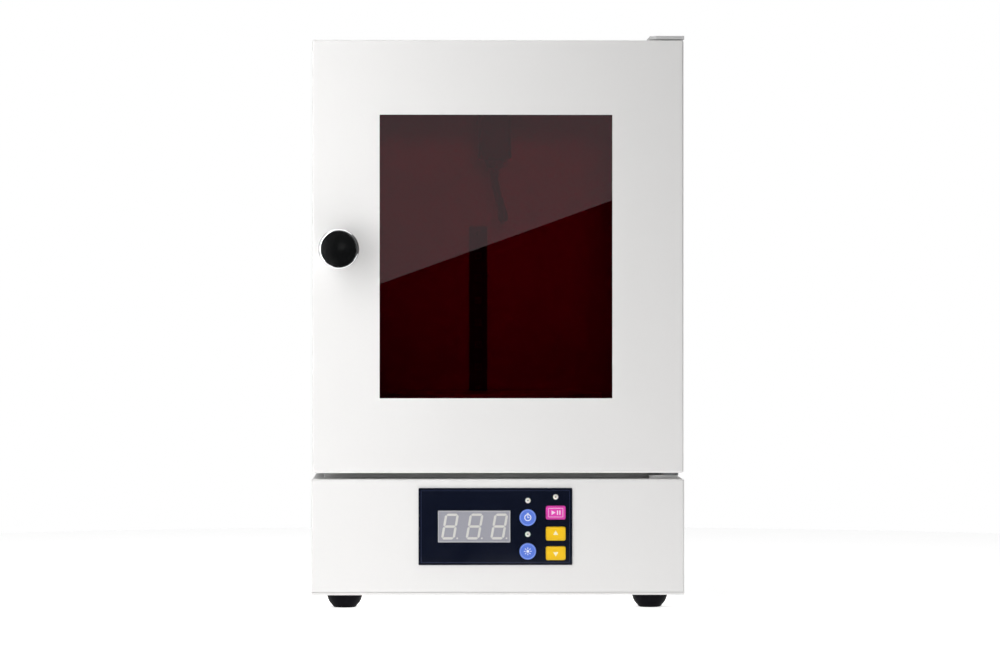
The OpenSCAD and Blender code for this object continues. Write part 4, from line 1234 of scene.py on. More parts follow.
@dataclass
class Chamber:
    """Inside the cabinet: mirror liner, lamp bars with their chips, turntable and its drive."""

    body: str = "cabinet"
    lip: float = 1.0
    tray_deep: float = 0.5
    tile_h: float = 0.7
    chip_r: float = 1.9
    disc_edge: float = 0.6
    spigot_r: float = 7.1
    ring_in: float = 3.0
    ring_w: float = 1.2
    ring_deep: float = 0.3
    hub_r: float = 7.0
    hub_bore: float = 3.1
    hub_top: float = 4.5
    flange_r: float = 13.0
    flange_h: float = 3.0
    flange_edge: float = 0.5

    def build(self) -> None:
        """Models the chamber's pieces."""
        coat(MIRROR_STEEL, *(f"liner_{side}" for side in ("left", "right", "back", "ceiling", "floor")))
        coat(MOTOR_CAN, "gearmotor")
        coat(PLATED_STEEL, "drive_shaft")
        self.build_bars()
        self.build_chips()
        self.build_disc()
        self.build_hub()

    def inward(self, box: Box) -> tuple[int, float]:
        """How a flat solid on a wall faces.

        Args:
            box: the solid's box.

        Returns:
            The axis that it is thinnest along, and 1 or -1 for the way to the chamber's middle.
        """
        left, right, back = (node_box(f"liner_{side}") for side in ("left", "right", "back"))
        low, high = (left.high.x, left.low.y, left.low.z), (right.low.x, back.low.y, left.high.z)
        middle = Box(Vector(low), Vector(high)).mid
        thin = min(range(3), key=lambda axis: box.size[axis])
        return thin, 1.0 if box.mid[thin] < middle[thin] else -1.0

    def build_bars(self) -> None:
        """Models the lamp bars as extruded trays with two raised edges."""
        bars = []
        for k, box in enumerate(solids("led_bars")):
            bar = block(f"lamp_bar_{k}", box)
            thin, way = self.inward(box)
            with editing(bar) as choose:
                choose(lambda middle, normal: normal[thin] * way > SQUARE)
                inset(self.lip, -self.tray_deep)
            bars.append(soften(bar, 0.2))
        dress(joined("lamp_bar_trays", bars), BLACK_ANODISED, self.body, ["led_bars"])

    def build_chips(self) -> None:
        """Models each chip on its bar, a tile with a dome."""
        chips = []
        for box in solids("led_chips"):
            thin, way = self.inward(box)
            inward = Vector(way if axis == thin else 0.0 for axis in range(3))
            seat = box.mid - inward * box.size[thin] / 2
            face = seat + inward * self.tile_h
            tile = box.between(**{f"{'xyz'[thin]}{1 if way > 0 else 0}": face[thin]})
            chips.append(soften(block("chip_tile", tile), 0.15, 1))
            flat = (box.size[thin] - self.tile_h) / self.chip_r
            outline = [(0, 0), (self.chip_r, 0), *arc((0, 0), self.chip_r, 15, 75, 3), (0, self.chip_r)]
            chips.append(turned("chip_dome", [(r, h * flat) for r, h in outline], face, inward, 14))
        dress(joined("lamp_chip_domes", chips), LAMP_CHIP, self.body, ["led_chips"])

    def build_disc(self) -> None:
        """Turns the turntable's acrylic disc, with a ring scribed near its edge."""
        box = node_box("turntable_disc")
        r, h, roll = box.size.x / 2, box.size.z, self.disc_edge
        start, end, deep = r - self.ring_in, r - self.ring_in - self.ring_w, self.ring_deep
        outline = [(self.spigot_r, 0), (r - roll, 0), *arc((r - roll, roll), roll, 270, 360, 3)]
        outline += [*arc((r - roll, h - roll), roll, 0, 90, 3), (start, h), (start - deep, h - deep)]
        outline += [(end + deep, h - deep), (end, h), (self.spigot_r, h), (self.spigot_r, 0)]
        disc = turned("turntable_plate", outline, (box.mid.x, box.mid.y, box.low.z), UP, 128)
        dress(disc, CLEAR_ACRYLIC, "turntable", ["turntable_disc"])

    def build_hub(self) -> None:
        """Turns the turntable's hub: a flange under the disc and a closed top over the shaft."""
        box, r, hole = node_box("turntable_hub"), self.hub_r, self.hub_bore
        top = box.size.z
        seat = node_box("turntable_disc").low.z - box.low.z
        low, rim = seat - self.flange_h, self.flange_r - self.flange_edge
        outline = [(hole, 0), (r - 0.4, 0), (r, 0.4), (r, low)]
        outline += arc((rim, low + self.flange_edge), self.flange_edge, 270, 360, 2)
        outline += [(self.flange_r, seat), (r, seat), (r, top - 0.3), (r - 0.3, top), (0, top)]
        outline += [(0, top - self.hub_top), (hole, top - self.hub_top), (hole, 0)]
        hub = turned("turntable_boss", outline, (box.mid.x, box.mid.y, box.low.z), UP)
        dress(hub, BLACK_PBT, "turntable", ["turntable_hub"])


# The arm's bend: for each stretch its part of the reach, its part of the drop, and how it widens
ARM_BEND = ((0.25, 1.6, 1.0), (0.55, 1.8, 1.0), (1.6, 5.6, 0.97), (1.6, 5.8, 0.97), (1.3, 5.2, 1.05),
            (0.7, 3.0, 1.22), (0.0, 2.6, 1.06), (0.0, 2.4, 0.86), (0.0, 1.2, 0.55))


@dataclass
class Hanger:
    """The housing under the chamber's ceiling and its bent arm."""

    corner: float = 3.0
    seam: float = 0.5
    seam_drop: float = 14.0
    seam_deep: float = 0.4
    step_in: float = 2.2
    step_h: float = 1.2
    ring_w: float = 1.6
    bore_r: float = 2.95
    cone_h: float = 7.0
    cone_top: float = 7.5
    cone_end: float = 4.8
    cone_edge: float = 0.6
    arm_r: float = 2.8
    arm_top: float = 0.1
    straight: float = 10.0
    reach: float = 6.0

    def build(self) -> None:
        """Models the housing and the arm."""
        box = self.box = node_box("hanger_housing")
        housing = joined("hanger_case", [self.case(), self.cone()])
        dress(housing, HANGER_PLASTIC, "cabinet", ["hanger_housing"])
        self.build_arm(Vector((box.mid.x, box.mid.y, box.low.z - self.straight)))

    def case(self) -> Piece:
        """The housing's case: rounded, with a seam round it and a step underneath.

        Returns:
            The case.
        """
        box = self.box
        low, seam = box.low.z + self.cone_h, box.high.z - self.seam_drop
        case = rounded_slab("hanger_case", box.between(z0=low), self.corner, 2)
        with editing(case) as choose:
            slice_at(seam, 2)
            slice_at(seam - self.seam, 2)
            choose(lambda middle, normal: abs(normal.z) < 0.1 and near(middle.z, seam - self.seam / 2))
            inset(0.02)
            sink = {"value": -self.seam_deep * MM}
            bpy.ops.mesh.extrude_region_shrink_fatten(TRANSFORM_OT_shrink_fatten=sink)
            choose(lambda middle, normal: normal.z < -SQUARE and near(middle.z, low))
            inset(self.step_in)
            extrude((0, 0, -self.step_h))
            inset(self.ring_w)
        return soften(case, 0.3, angle=SHARP)

    def cone(self) -> Piece:
        """The tapered mouth under the case, which the arm comes out of.

        Returns:
            The cone.
        """
        box, roll, h = self.box, self.cone_edge, self.cone_h
        outline = [(self.bore_r, h), (self.cone_top + 0.5, h), (self.cone_top, h - 1.0)]
        outline += [(self.cone_end + 0.3, 0.8)]
        outline += arc((self.cone_end + 0.2 - roll, roll), roll, 0, -90, 3)
        outline += [(self.bore_r, 0.0), (self.bore_r, h)]
        return turned("hanger_cone", outline, (box.mid.x, box.mid.y, box.low.z), UP, 40)

    def build_arm(self, knee: Vector) -> None:
        """Models the arm: a straight stretch, a slanted one and a blunt tip, extruded end on end.

        Args:
            knee: the point where the bend starts.
        """
        box = node_box("hanging_arm")
        top = box.high.z - self.arm_top
        arm = drum("hanging_finger", (knee.x, knee.y, top), -UP, top - knee.z, self.arm_r, 24)
        slide = self.reach / sum(aside for aside, _, _ in ARM_BEND)
        sink = (box.low.z - knee.z) / sum(down for _, down, _ in ARM_BEND)
        end = knee
        for aside, down, grow in ARM_BEND:
            with editing(arm) as choose:
                choose(lambda middle, normal: near(middle.z, end.z, 0.05) and normal.z < -0.3)
                step = Vector((aside * slide, 0, down * sink))
                extrude(step)
                end = end + step
                bpy.ops.transform.resize(value=(grow, grow, 1), center_override=end * MM)
        modify(arm, "SUBSURF", levels=1, render_levels=1)
        dress(arm, HANGER_PLASTIC, "hanging_arm", ["hanging_arm"], 50)


@dataclass
class Base:
    """The control base: shell, pan, riser, feet and what lies inside."""

    body: str = "cabinet"
    sheet: float = 1.2
    rim: float = 12.0
    panel_lap: float = 2.3
    foot_low: float = 7.5
    foot_bore: float = 4.0
    foot_seat: float = 4.0
    foot_hole: float = 2.1
    tread: float = 0.35
    foot_roll: float = 1.6

    def build(self) -> None:
        """Models the base's pieces."""
        panel = node_box("panel_face").grown(x=-self.panel_lap, z=-self.panel_lap)
        shell = FoldedSheet(node_box("base_shell"), self.sheet, ("z0", "y1"), window=panel, rim=self.rim)
        dress(shell.build("base_skin"), WHITE_COAT, self.body, ["base_shell"])
        coat(WHITE_COAT, "base_bottom", "neck_plate")
        coat(BOARD_GREEN, "control_board")
        coat(BLACK_PBT, "tact_switches")
        coat(PUNCHED_ALUMINIUM, "power_supply")
        coat(PLATED_STEEL, "foot_screws")
        self.build_feet()

    def build_feet(self) -> None:
        """Turns one tapered foot with a grooved tread, and copies it to the four corners."""
        boxes = solids("rubber_feet")
        first = boxes[0]
        top, height, low = first.size.x / 2, first.size.z, self.foot_low
        hole, well, seat = self.foot_hole, self.foot_bore, self.foot_seat
        outline = [(hole, seat), (well, seat), (well, 0.6), (well + 0.6, 0)]
        outline += [(low - 2.2, 0), (low - 1.9, self.tread), (low - 1.5, self.tread), (low - 1.2, 0)]
        outline += arc((low - 1.0, self.foot_roll), self.foot_roll, -90, -20, 5)
        outline += [(low + 2.7, 0.38 * height), (low + 3.7, 0.6 * height), (top - 0.1, 0.76 * height)]
        outline += [(top, 0.82 * height), (top, height - 0.3), (top - 0.3, height)]
        outline += [(hole, height), (hole, seat)]
        foot = turned("rubber_foot", outline, (first.mid.x, first.mid.y, 0), UP, 56)
        feet = pattern(foot, "rubber_foot_set", [box.mid - first.mid for box in boxes])
        dress(feet, FOOT_RUBBER, self.body, ["rubber_feet"])


class Sign(Enum):
    """What a key or the switch is printed with."""

    CLOCK = "clock"
    CYCLE = "cycle"
    START = "start and pause"
    UP = "up"
    DOWN = "down"


@dataclass
class ControlPanel:
    """The control panel: overlay, display with its digits, lamps and keys."""

    body: str = "cabinet"
    face: float = 0.8
    corner: float = 0.6
    carrier_in: float = 2.5
    carrier_t: float = 2.2
    flange: float = 1.2
    slip: float = 0.2
    post_r: float = 1.8
    post_h: float = 6.7
    posts: tuple = ((-45.0, 20.0), (-45.0, -20.0), (12.7, 20.0), (12.7, -20.0), (46.4, 20.0))
    border_in: float = 1.7
    border_w: float = 0.22
    display_rim: float = 0.7
    display_step: float = 0.12
    digit_w: float = 9.3
    digit_h: float = 17.4
    digit_pitch: float = 16.5
    digit_shift: float = 0.3
    stroke: float = 1.6
    stroke_gap: float = 0.4
    stroke_tip: float = 0.12
    slant: float = 10.0
    point_r: float = 0.6
    point_out: float = 2.4
    lamp_dome: float = 1.0
    cup_r: float = 0.45
    ink: float = 0.12
    round_edge: float = 0.35
    flat_corner: float = 1.3
    key_flange: float = 1.0

    def build(self) -> None:
        """Models the panel's pieces."""
        self.box = node_box("panel_face")
        self.front = self.box.low.y
        self.build_overlay()
        self.build_display()
        self.build_lamps()
        self.build_round_key("key_timer", Sign.CLOCK)
        self.build_round_key("key_mode", Sign.CYCLE)
        self.build_flat_key("key_run", Sign.START, PINK_KEY, PINK_RIM_HIGHLIGHT, PINK_INK)
        self.build_flat_key("key_up", Sign.UP, YELLOW_KEY, YELLOW_RIM_HIGHLIGHT, CREAM_INK)
        self.build_flat_key("key_down", Sign.DOWN, YELLOW_KEY, YELLOW_RIM_HIGHLIGHT, CREAM_INK)

    def through(self, box: Box) -> Box:
        """A cutter's box through the whole panel."""
        return box.between(y0=self.front - OVER, y1=self.box.high.y + OVER)

    def panel_cutters(self) -> list[Piece]:
        """Cutters for the display, the keys and the lamps."""
        display = node_box("display_housing").grown(x=self.slip, z=self.slip)
        cutters = [block("hole", self.through(display))]
        gap = self.slip - self.flange
        for node in ("key_run", "key_up", "key_down"):
            cutters.append(rounded_slab("hole", self.through(node_box(node).grown(x=gap, z=gap)), 1.5))
        for box in (node_box("key_timer"), node_box("key_mode")):
            cutters.append(bore(self.box, box.mid, 1, box.size.x / 2 + gap))
        for box in solids("indicator_lamps"):
            cutters.append(bore(self.box, box.mid, 1, box.size.x / 2 + self.slip))
        return cutters

    def build_overlay(self) -> None:
        """Models the overlay and its carrier, with the holes, the posts and a fine printed border."""
        back = self.front + self.face
        overlay = rounded_slab("panel_overlay", self.box.between(y1=back), self.corner)
        inner = self.box.grown(x=-self.carrier_in, z=-self.carrier_in)
        carrier = block("panel_carrier", inner.between(y0=back, y1=back + self.carrier_t))
        for piece in (overlay, carrier):
            cut(piece, self.panel_cutters())
        soften(overlay, 0.12, angle=SHARP)
        mid, seat = self.box.mid, back + 2.0
        posts = [drum("post", (mid.x + x, seat, mid.z + z), BACK, self.post_h, self.post_r, 20)
                 for x, z in self.posts]
        dress(joined("panel_overlay", [overlay, carrier, *posts]), PANEL_GLOSS, self.body, ["panel_face"])
        line = self.box.grown(x=-self.border_in, z=-self.border_in)
        line = block("overlay_border", line.between(y0=self.front - 0.03, y1=self.front + 0.1))
        dress(framed(line, self.border_w), OVERLAY_LINE, self.body)

    def build_display(self) -> None:
        """Models the display's case with its raised edge, a painted highlight on that edge, and three slanted
        digits.
        """
        box = node_box("display_housing")
        case = block("display_case", box)
        with editing(case) as choose:
            choose(lambda middle, normal: normal.y < -SQUARE)
            inset(self.display_rim)
            inset(0.12, -0.2)
        dress(soften(case, 0.1, 1, SHARP), DISPLAY_GREY, self.body, ["display_housing"])
        # a lighter frame over the raised edge: painted highlight
        rim = block("display_edge", box.between(y0=box.low.y - 0.05, y1=box.low.y + self.display_step))
        dress(framed(rim, self.display_rim), DISPLAY_EDGE_HIGHLIGHT, self.body)
        self.build_digits(Vector((box.mid.x, box.low.y + self.display_step, box.mid.z)))

    def stroke_bar(self, middle: Vector, length: float, upright: bool) -> Piece:
        """One stroke of a digit: a bar whose ends are pulled to a point.

        Args:
            middle: the stroke's middle.
            length: its length.
            upright: True for a stroke along Z, False for one along X.

        Returns:
            The piece.
        """
        half = Vector((length / 2, 0.1, self.stroke / 2))
        if upright:
            half.x, half.z = half.z, half.x
        bar = block("stroke", Box(middle - half, middle + half))
        axis = 2 if upright else 0
        squeeze = (self.stroke_tip, 1, 1) if upright else (1, 1, self.stroke_tip)
        ends = (middle[axis] - half[axis], middle[axis] + half[axis])
        with editing(bar) as choose:
            for end, side in zip(ends, (1, -1)):
                slice_at(end + side * self.stroke / 2, axis)
            for end in ends:
                choose(lambda centre, normal: near(centre[axis], end) and abs(normal[axis]) > SQUARE)
                point = middle.copy()
                point[axis] = end
                bpy.ops.transform.resize(value=squeeze, center_override=point * MM)
        return soften(bar, 0.06, 1, 60)

    def build_digits(self, at: Vector) -> None:
        """Models one digit with its point, slants it and copies it three times.

        Args:
            at: the middle digit's middle.
        """
        w, h = self.digit_w - self.stroke, (self.digit_h - self.stroke) / 2
        strokes = [self.stroke_bar(at + Vector((0, 0, z)), w - self.stroke_gap, False) for z in (-h, 0, h)]
        for x in (-w / 2, w / 2):
            for z in (-h / 2, h / 2):
                strokes.append(self.stroke_bar(at + Vector((x, 0, z)), h - self.stroke_gap, True))
        point = drum("point", at + Vector((w / 2 + self.point_out, -0.1, -h)), BACK, 0.2, self.point_r, 20)
        digit = joined("digit", [*strokes, point])
        lean = Matrix.Identity(4)
        lean[0][2] = math.tan(math.radians(self.slant))
        digit.data.transform(Matrix.Translation(at * MM) @ lean @ Matrix.Translation(-at * MM))
        places = [(k * self.digit_pitch + self.digit_shift, 0, 0) for k in (-1, 0, 1)]
        dress(pattern(digit, "display_digits", places), DISPLAY_STROKE, self.body, ["display_segments"])

    def build_lamps(self) -> None:
        """Turns one indicator lamp, a dome over a reflector cup, and copies it."""
        boxes = solids("indicator_lamps")
        first = boxes[0]
        r, deep, dome = first.size.x / 2, first.size.y, self.lamp_dome
        foot = Vector((first.mid.x, first.high.y, first.mid.z))
        side = deep - dome
        rise = [(radius, side + height) for radius, height in arc((0, 0), r, 0, 80, 7) if height < dome]
        outline = [(0, 0), (r, 0), (r, side), *rise[1:], (0.55, deep), (0.5, deep - 0.2), (0, deep - 0.2)]
        lamp = turned("lamp_lens", outline, foot, OUT, 32)
        steps = [box.mid - first.mid for box in boxes]
        dress(pattern(lamp, "lamp_lens_set", steps), LAMP_LENS, self.body, ["indicator_lamps"])
        outline = [(0, 0), (self.cup_r, 0), (self.cup_r, 0.12), (0, 0.16)]
        cup = turned("lamp_cup", outline, foot + OUT * (deep - 0.18), OUT, 20)
        dress(pattern(cup, "lamp_cup_set", steps), LAMP_CUP, self.body)

    def ring(self, name: str, centre: Vector, r0: float, r1: float) -> Piece:
        """A flat ring that stands a little out of a key: a printed sign, or a painted highlight on its rim.
        """
        outline = [(r0, 0), (r1, 0), (r1, self.ink), (r0, self.ink), (r0, 0)]
        return turned(name, outline, centre, OUT, 40)

    def bar(self, centre: Vector, width: float, height: float, turn: float = 0.0) -> Piece:
        """A printed bar.

        Args:
            centre: middle of the bar on the key's face.
            width: its width.
            height: its height.
            turn: how far it leans, in degrees.

        Returns:
            The piece.
        """
        half = Vector((width / 2, self.ink / 2, height / 2))
        return swung(block("bar", Box(centre - half, centre + half)), centre, turn, "Y")

    def wedge(self, centre: Vector, radius: float, turn: float) -> Piece:
        """A printed triangle that points along the angle turn, in degrees from up."""
        wedge = drum("wedge", centre + BACK * self.ink / 2, OUT, self.ink, radius, 3)
        return swung(wedge, centre, turn, "Y")

    def sign(self, sign: Sign, centre: Vector) -> Piece:
        """Models what is printed on a key.

        Args:
            sign: which sign.
            centre: middle of the key's face.

        Returns:
            The piece.
        """

        def at(x: float, z: float) -> Vector:
            """A point of the sign, from its middle."""
            return centre + Vector((x, 0, z))

        seat = centre + BACK * self.ink / 2
        if sign is Sign.CLOCK:
            parts = [self.ring("clock", seat, 1.75, 2.35), self.bar(at(0, 0.65), 0.5, 1.7),
                     self.bar(at(0.5, -0.1), 1.3, 0.5), self.bar(at(0, 2.85), 1.4, 0.5)]
        elif sign is Sign.CYCLE:
            parts = [self.ring("core", seat, 0.0, 0.95)]
            for turn in range(0, 360, 45):
                way = at(math.sin(math.radians(turn)), math.cos(math.radians(turn))) - centre
                parts.append(self.bar(centre + way * 2.05, 0.45, 1.1, turn))
        elif sign is Sign.START:
            parts = [self.wedge(at(-1.9, 0), 1.75, 90), self.bar(at(1.2, 0), 0.75, 2.9),
                     self.bar(at(2.8, 0), 0.75, 2.9)]
            width, height, line = 9.6, 5.8, 0.3
            for side in (-1, 1):
                parts.append(self.bar(at(0, side * height / 2), width, line))
                parts.append(self.bar(at(side * width / 2, 0), line, height))
        else:
            up = sign is Sign.UP
            parts = [self.wedge(at(0, 0.2 if up else -0.2), 2.0, 0 if up else 180)]
        return joined(f"sign_{sign.name.lower()}", parts)

    def build_round_key(self, node: str, sign: Sign) -> None:
        """Turns a round key with a painted highlight on its rim, and prints its sign."""
        box = node_box(node)
        r, deep, edge = box.size.x / 2 - self.flange, box.size.y, self.round_edge
        foot = Vector((box.mid.x, box.high.y, box.mid.z))
        outline = [(0, 0), (r + self.flange, 0), (r + self.flange, self.key_flange), (r, self.key_flange)]
        outline += [(r, deep - 0.45), *arc((r - edge, deep - 0.45), edge, 0, 90, 3)]
        outline += [(r - 0.9, deep - 0.1), (r - 1.0, deep - 0.22), (r * 0.5, deep - 0.26), (0, deep - 0.27)]
        key = turned(f"{node}_cap", outline, foot, OUT)
        dress(key, BLUE_KEY, node, [node], 40)
        # a lighter ring on the key's lip: painted highlight
        dress(self.ring(f"{node}_rim", foot + OUT * (deep - 0.12), r - 0.85, r - 0.3), BLUE_RIM_HIGHLIGHT, node)
        dress(self.sign(sign, foot + OUT * (deep - 0.26)), WHITE_INK, node)

    def build_flat_key(self, node: str, sign: Sign, cap: Finish, rim: Finish, ink: Finish) -> None:
        """Models a rectangular key with a painted highlight on its rim, and prints its sign.

        Args:
            node: the CAD node.
            sign: its sign.
            cap: finish of the cap.
            rim: finish of the painted highlight on the rim.
            ink: finish of the sign.
        """
        box = node_box(node)
        front = box.grown(x=-self.flange, z=-self.flange)
        key = rounded_slab(f"{node}_cap", front, self.flat_corner)
        with editing(key) as choose:
            choose(lambda middle, normal: normal.y < -SQUARE)
            inset(0.75)
            inset(0.1, -0.12)
        soften(key, 0.14, angle=SHARP)
        flange = rounded_slab("flange", box.between(y0=box.high.y - self.key_flange), self.flat_corner)
        dress(joined(f"{node}_cap", [key, flange]), cap, node, [node], 40)
        line = front.grown(x=-0.2, z=-0.2).between(y1=front.low.y + 0.1)
        # a lighter frame on the key's raised border: painted highlight
        dress(framed(rounded_slab(f"{node}_rim", line, self.flat_corner - 0.2), 0.5), rim, node)
        dress(self.sign(sign, Vector((box.mid.x, box.low.y + 0.1, box.mid.z))), ink, node)


@dataclass
class RearFittings:
    """At the rear: base cover, mains inlet and screws."""

    body: str = "cabinet"
    cover_corner: float = 1.0
    cover_screw: PanScrew = PanScrew(2.8, 2.0, 1.5)
    fan_screw: PanScrew = PanScrew(3.5, 1.8, 2.0)
    socket_w: float = 24.6
    socket_h: float = 16.8
    socket_deep: float = 15.5
    socket_cut: float = 4.5
    wall: float = 1.8
    slip: float = 0.2
    bezel_lap: float = 0.8

    def build(self) -> None:
        """Models the rear pieces."""
        self.build_cover()
        self.build_inlet()
        self.cover_screw.fit("cover_screw_set", "cover_screws", self.body)
        self.fan_screw.fit("fan_screw_set", "fan_screws", self.body)

    def build_cover(self) -> None:
        """Models the base's rear cover, cut for the inlet and the switch."""
        box, inlet, switch = node_box("base_back"), node_box("power_inlet"), node_box("rocker_housing")
        cover = rounded_slab("base_rear_cover", box, self.cover_corner)
        through = {"y0": box.low.y - OVER, "y1": box.high.y + OVER}
        side = self.wall + self.slip
        half = Vector((self.socket_w / 2 + side, 0, self.socket_h / 2 + side))
        holes = [block("hole", Box(inlet.mid - half, inlet.mid + half).between(**through)),
                 block("hole", switch.grown(x=-self.bezel_lap, z=-self.bezel_lap).between(**through))]
        dress(soften(cut(cover, holes), 0.2, angle=SHARP), WHITE_COAT, self.body, ["base_back"])

    def build_inlet(self) -> None:
        """Models the mains inlet: flange, and a socket with cut corners."""
        box = node_box("power_inlet")
        back = node_box("base_back").high.y
        flange = soften(rounded_slab("inlet_flange", box.between(y0=back), 3.0), 0.5, angle=SHARP)
        half = Vector((self.socket_w / 2, 0, self.socket_h / 2))
        hole = Box(box.mid - half, box.mid + half)
        hole = hole.between(y0=box.high.y - self.socket_deep, y1=box.high.y + OVER)
        shell = hole.grown(x=self.wall, z=self.wall).between(y0=box.low.y, y1=back + 0.2)
        inlet = joined("inlet_body", [flange, block("inlet_shell", shell)])
        socket = block("socket", hole)
        with editing(socket, "EDGE") as choose:
            choose(lambda a, b: abs((a - b).y) > 5 and near(a.z, hole.high.z))
            bevel(self.socket_cut)
        dress(cut(inlet, [socket]), BLACK_PBT, self.body, ["power_inlet"])
        coat(PLATED_STEEL, "inlet_pins")


@dataclass
class Fan:
    """The fan: frame on four struts, rotor with curved blades, and the finger guard of wire."""

    body: str = "cabinet"
    corner: float = 4.0
    screw_hole: float = 2.15
    hub_r: float = 12.5
    hub_t: float = 2.5
    shaft_hole: float = 1.6
    shaft_r: float = 1.5
    shaft_h: float = 3.2
    strut_w: float = 3.0
    strut_t: float = 2.0
    cup_gap: float = 2.8
    cup_edge: float = 0.6
    cup_roll: float = 1.2
    blades: int = 7
    blade_w: float = 16.4
    blade_t: float = 1.1
    blade_curl: float = 17.0
    blade_fade: float = 0.15
    blade_swell: float = 0.85
    tip_gap: float = 0.3
    wire: float = 1.6
    rings: int = 4
    ring_pitch: float = 7.0
    spoke_start: float = 6.0
    eye_r: float = 4.2
    eye_hole: float = 2.2

    def build(self) -> None:
        """Models the fan's pieces."""
        self.box = node_box("fan_frame")
        self.build_frame()
        self.build_rotor()
        self.build_guard()

    def around(self, turn: float) -> Matrix:
        """The matrix that puts a piece modelled over the axis at an angle, in degrees, round the fan."""
        place = Matrix.Translation(Vector((self.box.mid.x, 0, self.box.mid.z)) * MM)
        return place @ Matrix.Rotation(math.radians(turn), 4, "Y")

    def build_frame(self) -> None:
        """Models the fan's frame with its motor mount and four struts."""
        box = self.box
        case = rounded_slab("fan_case", box, self.corner)
        cut(case, [bore(box, box.mid, 1, FAN_BORE / 2, 72)])
        cut(case, [bore(box, screw.mid, 1, self.screw_hole, 24) for screw in solids("fan_screws")])
        soften(case, 0.4, angle=SHARP)
        r, hole, deep = self.hub_r, self.shaft_hole, self.hub_t
        outline = [(hole, 0), (r - 0.4, 0), (r, 0.4), (r, deep), (hole, deep), (hole, 0)]
        parts = [case, turned("fan_mount", outline, (box.mid.x, box.low.y, box.mid.z), BACK, 48)]
        low = Vector((-self.strut_w / 2, box.low.y, r - 1))
        high = Vector((self.strut_w / 2, box.low.y + self.strut_t, FAN_BORE / 2 + 1))
        strut = soften(block("strut", Box(low, high)), 0.4)
        parts += [copied(strut, "strut", turn=self.around(45 + 90 * k)) for k in range(4)]
        bpy.data.objects.remove(strut)
        dress(joined("fan_case", parts), BLACK_PBT, self.body, ["fan_frame"])

    def build_rotor(self) -> None:
        """Models the rotor: a cup with a rounded rim and its blades, modelled once and copied."""
        box, middle, r = node_box("fan_rotor"), self.box.mid, self.hub_r
        y0, deep, roll = box.low.y + self.cup_gap, box.size.y - self.cup_gap, self.cup_roll
        cup = [(0, 0), (r - self.cup_edge, 0), (r, self.cup_edge), (r, deep - roll)]
        cup += [*arc((r - roll, deep - roll), roll, 0, 90, 4), (0, deep)]
        parts = [turned("rotor_cup", cup, (middle.x, y0, middle.z), BACK, 56),
                 drum("rotor_shaft", (middle.x, box.low.y, middle.z), BACK, self.shaft_h, self.shaft_r, 24)]
        blade = self.blade(y0 + 0.4, box.size.x / 2 - self.tip_gap, deep - 1.9)
        for k in range(self.blades):
            parts.append(copied(blade, f"blade_{k}", turn=self.around(360 * k / self.blades)))
        bpy.data.objects.remove(blade)
        dress(joined("fan_wheel", parts), BLACK_PBT, "fan_rotor", ["fan_rotor"])

    def blade(self, low: float, tip: float, rise: float) -> Piece:
        """One blade over the axis: a plate that climbs and curls round the cup.

        Args:
            low: the blade's foremost place along Y.
            tip: how far from the axis it ends.
            rise: how far it climbs along Y.

        Returns:
            The blade.
        """
        root, half = self.hub_r - 1.0, self.blade_w / 2
        blade = block("blade", Box(Vector((-half, low, root)), Vector((half, low + self.blade_t, tip - 1.2))))
        with editing(blade):
            take_all()
            bpy.ops.mesh.subdivide(number_cuts=5)
        for vert in blade.data.vertices:
            x, z = vert.co.x / MM, vert.co.z / MM
            climb = max(0.0, (x + half) / self.blade_w)
            out = (z - root) / (tip - self.hub_r - 0.2)
            angle = x / self.blade_curl * (1.0 - self.blade_fade * out)
            vert.co.x = z * math.sin(angle) * MM
            vert.co.z = z * math.cos(angle) * MM
            vert.co.y += rise * climb**self.blade_swell * MM
        return soften(blade, 0.3, angle=SHARP)

    def build_guard(self) -> None:
        """Models the finger guard: rings of wire on four spokes with eyelets."""
        box, r = node_box("fan_guard"), self.wire / 2
        middle = Vector((self.box.mid.x, box.low.y + r, self.box.mid.z))
        parts = []
        for k in range(1, self.rings + 1):
            outline = arc((self.ring_pitch * k, 0), r, 0, 360, 10)
            parts.append(turned(f"ring_{k}", outline, middle + BACK * 0.6 * self.wire, BACK, 72))
        hole, rim = self.eye_hole, self.eye_r
        eye = [(hole, -r), (rim - 0.1, -r), (rim, 0.0), (rim - 0.1, r), (hole, r), (hole, -r)]
        for screw in solids("fan_screws"):
            corner = Vector((screw.mid.x, middle.y, screw.mid.z))
            way = (corner - middle).normalized()
            length = (corner - middle).length - self.spoke_start - 2.0
            parts.append(drum("spoke", middle + way * self.spoke_start, way, length, r, 12))
            parts.append(turned("eyelet", eye, corner, BACK, 28))
        dress(joined("finger_guard", parts), GUARD_WIRE, self.body, ["fan_guard"])


